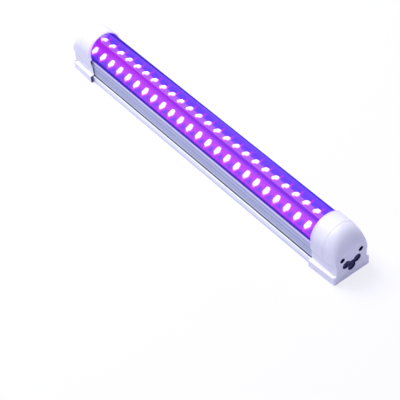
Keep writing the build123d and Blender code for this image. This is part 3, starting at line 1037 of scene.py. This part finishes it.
@dataclass
class Channel:
    """Ribbed aluminium channel with its seamed feet and ridged roof.

    The lit finish, a painted glow, goes on faces from a margin above the slots, down to a depth under the
    roof's slope.
    """

    sizes: LampSizes
    slot_outer: float = 13.15
    slot_inner: float = 11.65
    slot_bottom: float = 18.45
    lip_top: float = 20.5
    seam_half: float = 12.094
    seam_height: float = 0.7
    belly_half: float = 8.5
    belly_depth: float = 0.4
    ridge_half: float = 0.35
    ridge_drop: float = 0.07
    rib_count: int = 9
    rib_depth: float = 0.3
    rib_margin: float = 1.3
    rib_root: float = 0.12
    rib_sink: float = 0.02
    rib_share: float = 0.34
    rib_crown: float = 0.82
    edge: float = 0.22
    cavity_floor: float = 1.8
    cavity_half: float = 11.394
    cavity_top: float = 17.35
    column_half: float = 6.093
    roof_wall: float = 1.3
    bore: float = 0.85
    lit_margin: float = 0.3
    lit_depth: float = 1.0
    lit_reach: float = 0.05

    def __post_init__(self) -> None:
        """Works out where the ribbed part of the wall starts and ends."""
        self.wall_low = self.sizes.foot_height + self.seam_height
        self.rib_low, self.rib_high = self.wall_low + self.rib_margin, self.lip_top - self.rib_margin

    def half_outline(self) -> list[Flat]:
        """Right half of the outline, from the underside up to the ridge.

        Returns:
            The outline's points.
        """
        sizes, edge, foot = self.sizes, self.edge, self.sizes.foot_half
        wall = sizes.wall_half - self.rib_depth
        lip_inner = math.sqrt(self.slot_outer ** 2 - (sizes.axis - self.lip_top) ** 2)
        outside = rounded([
            (0.0, self.belly_depth, 0.0),
            (self.belly_half, self.belly_depth, edge),
            (self.belly_half, 0.0, edge / 2),
            (foot, 0.0, edge),
            (foot, sizes.foot_height, edge * 1.8),
            (self.seam_half, sizes.foot_height, edge / 2),
            (self.seam_half, self.wall_low, edge / 2),
            (sizes.wall_half, self.wall_low, edge),
            (sizes.wall_half, self.rib_low, edge / 2),
            (wall, self.rib_low, edge / 2),
            (wall, self.rib_high, edge / 2),
            (sizes.wall_half, self.rib_high, edge / 2),
            (sizes.wall_half, self.lip_top, edge / 2),
            (lip_inner, self.lip_top, edge / 2),
            (lip_inner, self.lip_top - edge, 0.0),
        ], closed=False)
        centre, low = (0.0, sizes.axis), self.slot_bottom - sizes.axis
        start = math.atan2(self.lip_top - edge - sizes.axis, lip_inner)
        outer = arc(centre, self.slot_outer, start, math.asin(low / self.slot_outer), 6)
        roof_y, roof_z = self.roof_edge()
        stop = math.atan2(roof_z - sizes.axis, roof_y)
        inner = arc(centre, self.slot_inner, math.asin(low / self.slot_inner), stop, 7)
        inner[0] = (math.sqrt(self.slot_inner ** 2 - low ** 2), self.slot_bottom)
        crest = [(self.ridge_half, sizes.apex - self.ridge_half * math.tan(sizes.tilt))]
        return outside[:-1] + outer + inner + crest + [(0.0, sizes.apex - self.ridge_drop)]

    def roof_edge(self) -> Flat:
        """Where the roof's slope meets the arc inside the cover.

        Returns:
            The point.
        """
        sizes, slope = self.sizes, math.tan(self.sizes.tilt)
        drop = sizes.apex - sizes.axis
        a, b, c = 1 + slope ** 2, -2 * slope * drop, drop ** 2 - self.slot_inner ** 2
        y = (-b + math.sqrt(b * b - 4 * a * c)) / (2 * a)
        return y, sizes.apex - slope * y

    def cavity(self) -> list[Flat]:
        """Outline of the hollow for the driver.

        Returns:
            The outline's points.
        """
        ceiling = self.sizes.apex - self.roof_wall / math.cos(self.sizes.tilt)
        corners = [
            (self.cavity_half, self.cavity_floor, 0.4),
            (self.cavity_half, self.cavity_top, 0.4),
            (self.column_half, self.cavity_top, 0.2),
            (self.column_half, ceiling - self.column_half * math.tan(self.sizes.tilt), 0.3),
        ]
        left = [(-y, z, radius) for y, z, radius in reversed(corners)]
        return rounded(corners + [(0.0, ceiling, 0.5)] + left)

    def build(self, metal: Material, lit: Material, pattern: NodePattern) -> None:
        """Makes the channel and its ribs.

        Args:
            metal: Finish of the outside.
            lit: Finish of the roof under the cover.
            pattern: Tree that repeats the ribs.
        """
        sizes, maker = self.sizes, MeshMaker()
        ends = (-sizes.channel_end, sizes.channel_end)
        outlines = [mirrored(self.half_outline()), self.cavity()]
        outlines += [circle(y, sizes.port_z, self.bore) for y in (-sizes.port_y, sizes.port_y)]
        loops = [maker.loft([at(x, line) for x in ends]) for line in outlines]
        for end in (0, 1):
            maker.fill(*(loop[end] for loop in loops))
        body = maker.finish("ribbed_channel", (metal, lit), 30.0)
        for face in body.data.polygons:
            y, z = face.center.y / MM, face.center.z / MM
            roof = sizes.apex - abs(y) * math.tan(sizes.tilt) - self.lit_depth
            lowest = max(self.slot_bottom + self.lit_margin, roof)
            under_cover = math.hypot(y, z - sizes.axis) < self.slot_inner + self.lit_reach and z > lowest
            face.material_index = int(under_cover and abs(face.normal.x) < 0.5)
        level_flats(body)
        hand_over(body, "anodised_aluminium", "base_channel")
        for side in Side:
            self.ribs(side, metal, pattern)

    def ribs(self, side: Side, metal: Material, pattern: NodePattern) -> None:
        """Makes the ribs of one side wall.

        Args:
            side: Which wall.
            metal: Their finish.
            pattern: Tree that repeats one rib up the wall.
        """
        sizes = self.sizes
        step = (self.rib_high - self.rib_low) / self.rib_count
        start = sizes.wall_half - self.rib_depth - self.rib_sink
        root, width = start + self.rib_root, step * self.rib_share
        section = [(start, -width), (root, -width)]
        for i in range(7):
            angle = -math.pi / 2 + math.pi * i / 6
            swell = (self.rib_depth - self.rib_root) * math.cos(angle)
            section.append((root + swell, width * self.rib_crown * math.sin(angle)))
        section += [(root, width), (start, width)]
        outline = [(side.value * y, z) for y, z in section]
        ends = (-sizes.channel_end, sizes.channel_end)
        template = solid("rib_template", [at(x, outline) for x in ends], (metal,))
        ribs = pattern.run(side.name.lower() + "_channel_ribs", {
            "Template": template,
            "Count": self.rib_count,
            "Start": (0.0, 0.0, (self.rib_low + step / 2) * MM),
            "Step": (0.0, 0.0, step * MM),
            "Finish": metal,
        })
        bpy.data.objects.remove(template)
        hand_over(ribs, "anodised_aluminium")


@dataclass
class Cover:
    """Clear half-round cover with rounded rims and edges that wrap into the slots."""

    sizes: LampSizes
    wall: float = 1.2
    edge_drop: float = 6.0
    steps: int = 96
    rim: float = 0.3

    def section(self, shrink: float) -> list[Flat]:
        """Closed section of the cover's wall.

        Args:
            shrink: How much it is shrunk all round for the rims.

        Returns:
            The section's points.
        """
        points = []
        outer, inner = self.sizes.cover_radius - shrink, self.sizes.cover_radius - self.wall + shrink
        for radius, order in ((outer, 1), (inner, -1)):
            low = -math.asin((self.edge_drop - shrink) / radius)
            points += arc((0.0, self.sizes.axis), radius, low, math.pi - low, self.steps)[::order]
        return points

    def build(self, clear: Material) -> None:
        """Makes the cover.

        Args:
            clear: Its finish.
        """
        maker, end, rim = MeshMaker(), self.sizes.channel_end, self.rim
        stations = [(-end, rim), (-end + rim * 0.3, rim * 0.3), (-end + rim, 0.0)]
        stations += [(-x, shrink) for x, shrink in reversed(stations)]
        rings = maker.loft([at(x, self.section(shrink)) for x, shrink in stations])
        last = 2 * self.steps + 1
        for ring in (rings[0], rings[-1]):
            for i in range(self.steps):
                maker.mesh.faces.new((ring[i], ring[i + 1], ring[last - 1 - i], ring[last - i]))
        hand_over(maker.finish("clear_cover_shell", (clear,), 50.0), "clear_polycarbonate", "clear_cover")


@dataclass
class LightRow:
    """One row of diodes on its board."""

    sizes: LampSizes
    side: Side
    along: float = 3.6
    across: float = 5.6
    height: float = 0.9
    rim: float = 0.5
    window_depth: float = 0.3

    def outline(self, size: Flat, shrink: float, height: float, radius: float) -> list[Point]:
        """Rounded rectangle on the slope at x = 0.

        Args:
            size: Its size along and across the lamp.
            shrink: How much smaller it is than that.
            height: Its height off the roof.
            radius: Radius of its corners.

        Returns:
            The outline's points.
        """
        x, v = (size[0] - shrink) / 2, (size[1] - shrink) / 2
        flat = rounded([(x, -v, radius), (x, v, radius), (-x, v, radius), (-x, -v, radius)])
        return [(x, *self.sizes.on_roof(self.side, self.sizes.diode_line + v, height)) for x, v in flat]

    def template(self, finish: Material, package: bool) -> Piece:
        """One diode's package with its cup, or the lens that fills the cup.

        Args:
            finish: Its finish.
            package: Whether it is the package.

        Returns:
            The template.
        """
        base, top = self.sizes.board_top, self.sizes.board_top + self.height
        body = (self.along, self.across)
        cup = (self.along - 2 * self.rim, self.across - 2 * self.rim)
        floor = top - self.window_depth
        rings = (
            (body, 0.0, base, 0.25), (body, 0.0, top - 0.22, 0.25), (body, 0.1, top - 0.07, 0.3),
            (body, 0.34, top, 0.35), (cup, -0.2, top, 0.75), (cup, 0.0, top - 0.08, 0.75),
            (cup, 0.5, floor, 0.6),
        ) if package else (
            (cup, 0.52, floor + 0.02, 0.6), (cup, 0.04, top - 0.1, 0.75), (cup, 0.3, top - 0.05, 0.7),
            (cup, 1.0, top - 0.015, 0.55), (cup, 1.9, top, 0.3),
        )
        name, sharp = ("package_template", 32.0) if package else ("lens_template", 60.0)
        return solid(name, [self.outline(*ring) for ring in rings], (finish,), sharp)

    def build(self, package: Material, lens: Material, pattern: NodePattern) -> None:
        """Makes the row's packages and lenses.

        Args:
            package: Finish of the packages.
            lens: Finish of the lenses.
            pattern: Tree that repeats them along the lamp.
        """
        sizes = self.sizes
        first = -(sizes.diodes - 1 + self.side.value * 0.5) / 2 * sizes.pitch
        name = self.side.name.lower()
        for template, part, finish, slot, node in (
            (self.template(package, True), "packages", package, "diode_package", "bodies"),
            (self.template(lens, False), "lenses", lens, "diode_window", "windows"),
        ):
            row = pattern.run(f"{name}_diode_{part}", {
                "Template": template,
                "Count": sizes.diodes,
                "Start": (first * MM, 0.0, 0.0),
                "Step": (sizes.pitch * MM, 0.0, 0.0),
                "Finish": finish,
            }, 40.0)
            bpy.data.objects.remove(template)
            hand_over(row, slot, f"{name}_diode_{node}")


@dataclass
class SocketShape:
    """Three-lobed outline of the mains socket."""

    radius: float = 3.3
    spread: float = 4.7
    high: float = 12.9
    low: float = 8.4
    hub_radius: float = 2.9
    steps: int = 120

    def outline(self, grow: float) -> list[Flat]:
        """Outline worked out ray by ray from the middle between the lobes.

        Args:
            grow: How far it is grown outwards.

        Returns:
            The outline's points.
        """
        hub = (2 * self.high + self.low) / 3
        discs = [
            (0.0, 0.0, self.hub_radius),
            (0.0, self.low - hub, self.radius),
            (self.spread, self.high - hub, self.radius),
            (-self.spread, self.high - hub, self.radius),
        ]
        points = []
        for i in range(self.steps):
            angle = 2 * math.pi * i / self.steps
            ray = Vector((math.cos(angle), math.sin(angle)))
            reach = 0.0
            for y, z, radius in discs:
                along = ray.dot((y, z))
                inside = (radius + grow) ** 2 - y * y - z * z + along * along
                if inside > 0:
                    reach = max(reach, along + math.sqrt(inside))
            points.append((ray.x * reach, hub + ray.y * reach))
        return points


@dataclass
class EndCap:
    """Moulded cap: foot, neck, half-round sleeve, crease and domed end.

    The socket's hole widens at a start behind the face's wall. The pocket's cutter sticks out by an overlap.
    """

    sizes: LampSizes
    end: End
    socket: SocketShape = field(default_factory=SocketShape)
    wall: float = 1.3
    dome_length: float = 12.0
    dome_taper: float = 0.7
    face_top_drop: float = 1.4
    shoulder_drop: float = 7.6
    side_drop: float = 9.2
    neck_wall: float = 0.5
    neck_taper: float = 0.3
    foot_wall: float = 2.1
    foot_taper: float = 1.1
    ledge: float = 6.35
    flange_length: float = 1.4
    flange_rise: float = 1.2
    corner: float = 0.8
    foot_edge: float = 0.32
    ledge_edge: float = 0.55
    neck_edge: float = 0.35
    edge: float = 0.28
    mouth_softness: float = 0.7
    crease_depth: float = 0.24
    crease_half: float = 0.2
    dome_step: float = 0.12
    crease_rings: tuple[float, ...] = (0.7, 0.4, 0.25, 0.15, 0.05)
    flange_rings: tuple[float, ...] = (0.1, 0.04)
    edge_rings: tuple[float, ...] = (1.0, 0.5, 0.25, 0.1, 0.03)
    arch_steps: int = 48
    hole_radius: float = 2.0
    hole_rim: float = 0.35
    hole_steps: int = 5
    room_start: float = 0.3
    overlap: float = 1.0
    hole_floor: float = 139.4
    socket_floor: float = 140.4
    socket_room: float = 0.45

    def __post_init__(self) -> None:
        """Works out where the dome and the flange start."""
        self.dome_start = self.sizes.half_length - self.dome_length
        self.flange = self.sizes.half_length - self.flange_length

    def outline(self, x: float) -> list[Flat]:
        """Outside outline, before its edges are rounded.

        Args:
            x: The place along the cap.

        Returns:
            The outline's points.
        """
        sizes = self.sizes
        share = min((x - sizes.cap_mouth) / (self.flange - sizes.cap_mouth), 1.0)
        foot = sizes.foot_half + sizes.fit + self.foot_wall - share * self.foot_taper
        foot -= rounding(x - (sizes.half_length - self.corner), self.corner)
        neck = sizes.wall_half + sizes.fit + self.neck_wall - share * self.neck_taper
        ledge = self.ledge + self.flange_rise * smoothstep(x, self.flange - 0.1, self.flange + 0.1)
        full = sizes.cover_radius + sizes.fit + self.wall
        into_dome = x - self.dome_start
        cosine = math.sqrt(max(1 - max(into_dome / self.dome_length, 0.0) ** 2, 0.0))
        shoulder = sizes.axis - self.shoulder_drop
        face_top = sizes.axis - self.face_top_drop
        groove = self.crease_depth * math.exp(-(into_dome / self.crease_half) ** 2)
        groove += self.dome_step * smoothstep(into_dome, -self.crease_half, self.crease_half)
        half = full - self.dome_taper * (1 - cosine) - groove
        spring = shoulder + (sizes.axis - shoulder) * cosine
        top = face_top + (sizes.axis + full - face_top) * cosine - groove
        bottom = sizes.axis - self.side_drop
        step = half - neck
        lower = rounded([
            (0.0, 0.0, 0.0),
            (foot, 0.0, self.foot_edge),
            (foot, ledge, self.ledge_edge),
            (neck, ledge, self.neck_edge),
            (neck, bottom, step * self.neck_edge),
            (half, bottom, step * self.ledge_edge),
            (half, spring, 0.0),
        ], closed=False)[1:]
        turns = [math.pi / 2 * i / self.arch_steps for i in range(1, self.arch_steps)]
        arch = [(half * math.cos(turn), spring + (top - spring) * math.sin(turn)) for turn in turns]
        return mirrored(lower + arch + [(0.0, top)])

    def rings(self) -> list[list[Point]]:
        """Rings of the outside, from the mouth to the face.

        Returns:
            The rings' points.
        """
        face, mouth, edge = self.sizes.half_length, self.sizes.cap_mouth, self.edge
        places = [mouth, mouth + edge * 0.12, mouth + edge * 0.4, mouth + edge, mouth + 4.0, mouth + 8.0]
        for start, offsets in ((self.dome_start, self.crease_rings), (self.flange, self.flange_rings)):
            places += [start + sign * offset for sign in (-1, 1) for offset in offsets]
        dome = [math.sin(math.radians(turn)) for turn in range(6, 91, 3)]
        places += [self.dome_start + self.dome_length * share for share in dome]
        places += [face - edge * share for share in self.edge_rings]
        rings = []
        for x in sorted(places):
            back = rounding(x - (face - edge), edge)
            back += rounding(mouth + edge - x, edge) * self.mouth_softness
            rings.append(at(self.end.value * x, inset(self.outline(x), back)))
        return rings

    def pocket(self) -> Piece:
        """Cutter for the room that the channel and cover sit in.

        Returns:
            The cutter.
        """
        sizes, sign = self.sizes, self.end.value
        foot, wall = sizes.foot_half + sizes.fit, sizes.wall_half + sizes.fit
        radius, ledge = sizes.cover_radius + sizes.fit, sizes.foot_height + sizes.fit
        sleeve = arc((0.0, sizes.axis), radius, math.acos(wall / radius), math.pi / 2, 36)[:-1]
        half = [(foot, -self.overlap), (foot, ledge), (wall, ledge), *sleeve, (0.0, sizes.axis + radius)]
        places = (sizes.cap_mouth - self.overlap, sizes.channel_end + 0.05)
        return solid("pocket_cutter", [at(sign * x, mirrored(half)) for x in places])

    def hole(self, outline: Callable[[float], list[Flat]], floor: float, grow: float) -> Piece:
        """Cutter for a hole in the face with a softly rounded rim.

        Args:
            outline: Gives the hole's outline for how far it is grown.
            floor: Where the hole ends along the lamp.
            grow: How far it is grown behind the face's wall.

        Returns:
            The cutter.
        """
        face, rim, sign = self.sizes.half_length, self.hole_rim, self.end.value
        stations = [(face + 0.5, rim + 0.3), (face + 0.02, rim)]
        for i in range(1, self.hole_steps + 1):
            turn = math.pi / 2 * i / self.hole_steps
            stations.append((face - rim * (1 - math.cos(turn)), rim * (1 - math.sin(turn))))
        back = face - self.wall - self.room_start
        stations += [(back, 0.0), (back - 0.02, grow), (floor, grow)]
        return solid("hole_cutter", [at(sign * x, outline(size)) for x, size in stations])

    def screw_hole(self, y: float) -> Piece:
        """Cutter for the hole of the screw at a place across the lamp."""
        z, radius = self.sizes.port_z, self.hole_radius
        return self.hole(lambda grow: circle(y, z, radius + grow), self.hole_floor, 0.0)

    def build(self, plastic: Material) -> None:
        """Makes the cap.

        Args:
            plastic: Its finish.
        """
        name = self.end.name.lower()
        cap = solid(name + "_cap_moulding", self.rings(), (plastic,), 40.0)
        cutters = [self.pocket(), self.hole(self.socket.outline, self.socket_floor, self.socket_room)]
        cutters += [self.screw_hole(y) for y in (-self.sizes.port_y, self.sizes.port_y)]
        cut(cap, cutters, 40.0)
        level_flats(cap)
        hand_over(cap, "white_cap_plastic", name + "_end_cap")


@dataclass
class CarriedSolids:
    """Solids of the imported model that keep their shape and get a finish."""

    rounds: dict[str, str] = field(default_factory=lambda: {
        "right_socket": "socket", "left_socket": "socket",
        "right_socket_pins": "pin", "left_socket_pins": "pin",
        "cap_screws": "screw",
        "fuse": "fuse", "film_capacitor": "film", "input_capacitor": "can", "output_capacitor": "can",
        "blocking_diode": "epoxy", "choke_core": "ferrite",
        "through_line_wire": "brown", "through_neutral_wire": "blue", "through_earth_wire": "earth",
        "line_feed_wire": "brown", "neutral_feed_wire": "blue",
        "positive_light_wire": "red", "negative_light_wire": "white",
    })
    flats: dict[str, str] = field(default_factory=lambda: {
        "front_light_board": "board_glow", "rear_light_board": "board_glow",
        "front_thermal_tape": "tape", "rear_thermal_tape": "tape",
        "board_link": "pin", "driver_board": "circuit", "insulating_sleeve": "film_sleeve",
        "bridge_rectifier": "epoxy", "driver_chip": "epoxy", "driver_resistors": "epoxy",
    })

    merge: float = 0.002
    sharp: float = 30.0

    def smooth_copy(self, node: str, finish: Material, slot: str) -> None:
        """Replaces a solid by a merged, smoothly shaded copy of it.

        Args:
            node: The solid's name.
            finish: Its finish.
            slot: The record's material slot.
        """
        mesh = bmesh.new()
        mesh.from_mesh(frame["nodes"][node].data)
        bmesh.ops.remove_doubles(mesh, verts=mesh.verts, dist=self.merge * MM)
        data = bpy.data.meshes.new(node + "_finished")
        mesh.to_mesh(data)
        mesh.free()
        data.materials.clear()
        data.materials.append(finish)
        smooth(data, self.sharp)
        hand_over(add_object(node + "_finished", data), slot, node)

    def build(self, finishes: dict[str, Material]) -> None:
        """Dresses every carried solid.

        Args:
            finishes: The materials by their short names.
        """
        slots = {entry["node"]: entry["material_slot"] for entry in frame["record"]["subparts"]}
        for node, finish in self.rounds.items():
            self.smooth_copy(node, finishes[finish], slots[node])
        for node, finish in self.flats.items():
            materials = frame["nodes"][node].data.materials
            materials.clear()
            materials.append(finishes[finish])
            LOG.info("%s: carried over with %s", node, finish)


@dataclass
class ChokeWinding:
    """Copper winding on the choke's core."""

    core_radius: float = 2.4
    wire_radius: float = 0.3
    turns: float = 10.5
    layers: int = 3

    def build(self, copper: Material) -> None:
        """Makes the winding where its solid is.

        Args:
            copper: Its finish.
        """
        low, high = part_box("choke_winding")
        wire = self.wire_radius * MM
        winding = winding_pattern(self.layers).run("choke_winding_turns", {
            "Inner Radius": (self.core_radius + self.wire_radius) * MM,
            "Wire Radius": wire,
            "Height": (high.z - low.z) - 2 * wire,
            "Turns": self.turns,
            "Base": ((low.x + high.x) / 2, (low.y + high.y) / 2, low.z + wire),
            "Finish": copper,
        })
        hand_over(winding, "copper_wire", "choke_winding")


# Studio


@dataclass
class Studio:
    """Floor, lights and camera at the photograph's angle."""

    camera_place: Point = (598.76, -416.0, 710.47)
    azimuth: float = math.radians(56.05)
    elevation: float = math.radians(45.95)
    roll: float = math.radians(-6.10)
    focal_pixels: float = 1411.0
    image_pixels: float = 400.0
    sensor: float = 36.0
    floor_size: float = 8.0
    floor_drop: float = 0.02
    floor_colour: tuple[float, float, float, float] = (0.72, 0.72, 0.86, 1.0)
    floor_roughness: float = 0.8
    floor_gloss: float = 0.1
    floor_share: float = 0.66
    floor_white: float = 1.11
    ambient: float = 0.42
    ambient_tint: Colour = (204, 204, 255)
    white: Colour = (255, 255, 255)
    lights: tuple[tuple[str, Point, float, float], ...] = (
        ("key_light", (-0.7, -0.15, 1.25), 0.7, 16.5),
        ("top_light", (0.0, -0.2, 1.4), 0.9, 5.0),
    )

    def plain_white(self, nodes: Nodes) -> Socket:
        """Share of rays that see the background itself: camera, glossy and transmitted ones.

        Args:
            nodes: The world's or the floor's nodes.

        Returns:
            The share's socket.
        """
        rays = nodes.add("ShaderNodeLightPath", {}).outputs
        glossy = nodes.math("MAXIMUM", rays["Is Camera Ray"], rays["Is Glossy Ray"])
        return nodes.math("MAXIMUM", glossy, rays["Is Transmission Ray"])

    def build_world(self) -> None:
        """Sets the white surroundings."""
        world = bpy.data.worlds.new("surroundings")
        world.use_nodes = True
        nodes = Nodes(world.node_tree)
        background = nodes.tree.nodes["Background"]
        seen = self.plain_white(nodes)
        strength = nodes.add("ShaderNodeMapRange", {"To Min": self.ambient, "Value": seen})
        nodes.feed(background.inputs["Strength"], strength.outputs[0])
        nodes.feed(background.inputs["Color"], nodes.blend(seen, self.ambient_tint, self.white))
        bpy.context.scene.world = world

    def build_floor(self) -> None:
        """Makes the plain pale floor."""
        maker, half = MeshMaker(), self.floor_size / 2 / MM
        corners = ((-half, -half), (half, -half), (half, half), (-half, half))
        maker.fill(maker.ring([(x, y, 0.0) for x, y in corners]))
        material = bpy.data.materials.new("pale_floor")
        material.use_nodes = True
        nodes = Nodes(material.node_tree)
        surface = nodes.tree.nodes["Principled BSDF"]
        surface.inputs["Base Color"].default_value = self.floor_colour
        surface.inputs["Roughness"].default_value = self.floor_roughness
        surface.inputs["Specular IOR Level"].default_value = self.floor_gloss
        glow = nodes.add("ShaderNodeEmission", {"Strength": self.floor_white})
        share = nodes.times(self.plain_white(nodes), self.floor_share)
        mix = nodes.add("ShaderNodeMixShader", {0: share, 1: surface.outputs[0], 2: glow.outputs[0]})
        nodes.feed(nodes.tree.nodes["Material Output"].inputs["Surface"], mix.outputs[0])
        floor = maker.finish("studio_floor", (material,))
        floor.location.z = -self.floor_drop * MM

    def build_lights(self) -> None:
        """Places the soft lights, each turned to the lamp."""
        for name, place, size, power in self.lights:
            light = bpy.data.lights.new(name, "AREA")
            light.size = size
            light.energy = power
            holder = add_object(name, light)
            holder.location = place
            holder.rotation_euler = (-Vector(place)).to_track_quat("-Z", "Y").to_euler()

    def build_camera(self) -> None:
        """Places the camera."""
        sin_a, cos_a = math.sin(self.azimuth), math.cos(self.azimuth)
        sin_e, cos_e = math.sin(self.elevation), math.cos(self.elevation)
        ahead = Vector((-sin_a * cos_e, cos_a * cos_e, -sin_e))
        level = Vector((cos_a, sin_a, 0.0))
        upward = level.cross(ahead)
        right = level * math.cos(self.roll) + upward * math.sin(self.roll)
        up = upward * math.cos(self.roll) - level * math.sin(self.roll)
        camera = bpy.data.cameras.new("photo_camera")
        camera.sensor_width = self.sensor
        camera.lens = self.focal_pixels / self.image_pixels * self.sensor
        holder = add_object("photo_camera", camera)
        turn = Matrix((right, up, -ahead)).transposed().to_4x4()
        holder.matrix_world = Matrix.Translation(Vector(self.camera_place) * MM) @ turn
        bpy.context.scene.camera = holder

    def build(self) -> None:
        """Sets up the studio."""
        bpy.context.scene.view_settings.view_transform = "Standard"
        self.build_world()
        self.build_floor()
        self.build_lights()
        self.build_camera()


def make_finishes(sizes: LampSizes) -> dict[str, Material]:
    """Builds every finish of the lamp.

    Args:
        sizes: The shared sizes.

    Returns:
        The materials by their short names.
    """
    line_y, _ = sizes.on_roof(Side.REAR, sizes.diode_line, sizes.board_top)
    grid = DiodeGrid(sizes.pitch, sizes.pitch / 4, line_y + 0.2, sizes.tilt)
    drawn, woven = Texture.DRAWN, Texture.WOVEN
    finishes = {
        "metal": AnodisedAluminium("anodised_aluminium"),
        "clear": ClearShell("clear_polycarbonate", grid, sizes.axis, sizes.cover_radius - Cover.wall / 2),
        "roof_glow": RowGlow("lit_channel_roof", grid, 0.95),
        "board_glow": RowGlow("lit_board_face", grid),
        "package": DiodeLight("diode_package", grid),
        "lens": DiodeLight("diode_lens", grid, 1.1),
        "cap": CapPlastic("white_cap_plastic", sizes.cap_mouth, sizes.axis, sizes.cover_radius + sizes.fit),
        "socket": Plain("socket_plastic", (60, 52, 126), (70, 62, 140), roughness=(0.4, 0.55)),
        "pin": Plain("plated_brass", (100, 92, 144), (84, 78, 124), drawn, (0.3, 0.45), 0.6),
        "screw": Plain("zinc_steel", (176, 178, 188), (140, 142, 154), drawn, (0.25, 0.4), 1.0),
        "tape": RowGlow("lit_thermal_tape", grid, 0.85),
        "circuit": Plain("circuit_board", (32, 96, 52), (24, 78, 44), woven, (0.3, 0.45)),
        "film_sleeve": Plain("sleeve_film", (226, 230, 238), (208, 214, 226), roughness=(0.25, 0.4)),
        "fuse": Plain("fuse_glaze", (112, 150, 122), (92, 130, 104), roughness=(0.12, 0.25)),
        "epoxy": Plain("black_epoxy", (28, 28, 31), (42, 42, 46), roughness=(0.4, 0.6)),
        "film": Plain("film_capacitor_dip", (186, 92, 34), (160, 74, 24), roughness=(0.15, 0.3)),
        "can": Plain("capacitor_wrap", (28, 34, 84), (20, 24, 62), roughness=(0.2, 0.35)),
        "ferrite": Plain("ferrite", (44, 44, 48), (60, 60, 64), roughness=(0.55, 0.75)),
        "copper": Plain("enamelled_copper", (184, 96, 52), (150, 72, 36), drawn, (0.2, 0.3), 0.9),
        "brown": Plain("brown_insulation", (92, 52, 30), (74, 40, 24)),
        "blue": Plain("blue_insulation", (36, 76, 170), (28, 60, 144)),
        "earth": Plain("earth_insulation", (120, 158, 40), (206, 190, 50), woven),
        # Painted violet glow on the red wire, as if lit by the rows.
        "red": Plain("red_insulation", (176, 26, 22), (146, 18, 18), lit=(150, 36, 206)),
        "white": Plain("white_insulation", (232, 232, 232), (214, 214, 216)),
    }
    return {name: finish.make() for name, finish in finishes.items()}


def main() -> None:
    """Builds the studio and every piece of the lamp, in order."""
    logging.basicConfig(level=logging.INFO, format="%(name)s: %(message)s")
    sizes = LampSizes()
    finishes = make_finishes(sizes)
    Studio().build()
    pattern = line_pattern()
    Channel(sizes).build(finishes["metal"], finishes["roof_glow"], pattern)
    for side in Side:
        LightRow(sizes, side).build(finishes["package"], finishes["lens"], pattern)
    Cover(sizes).build(finishes["clear"])
    for end in End:
        EndCap(sizes, end).build(finishes["cap"])
    ChokeWinding().build(finishes["copper"])
    CarriedSolids().build(finishes)


if __name__ == "__main__":
    main()
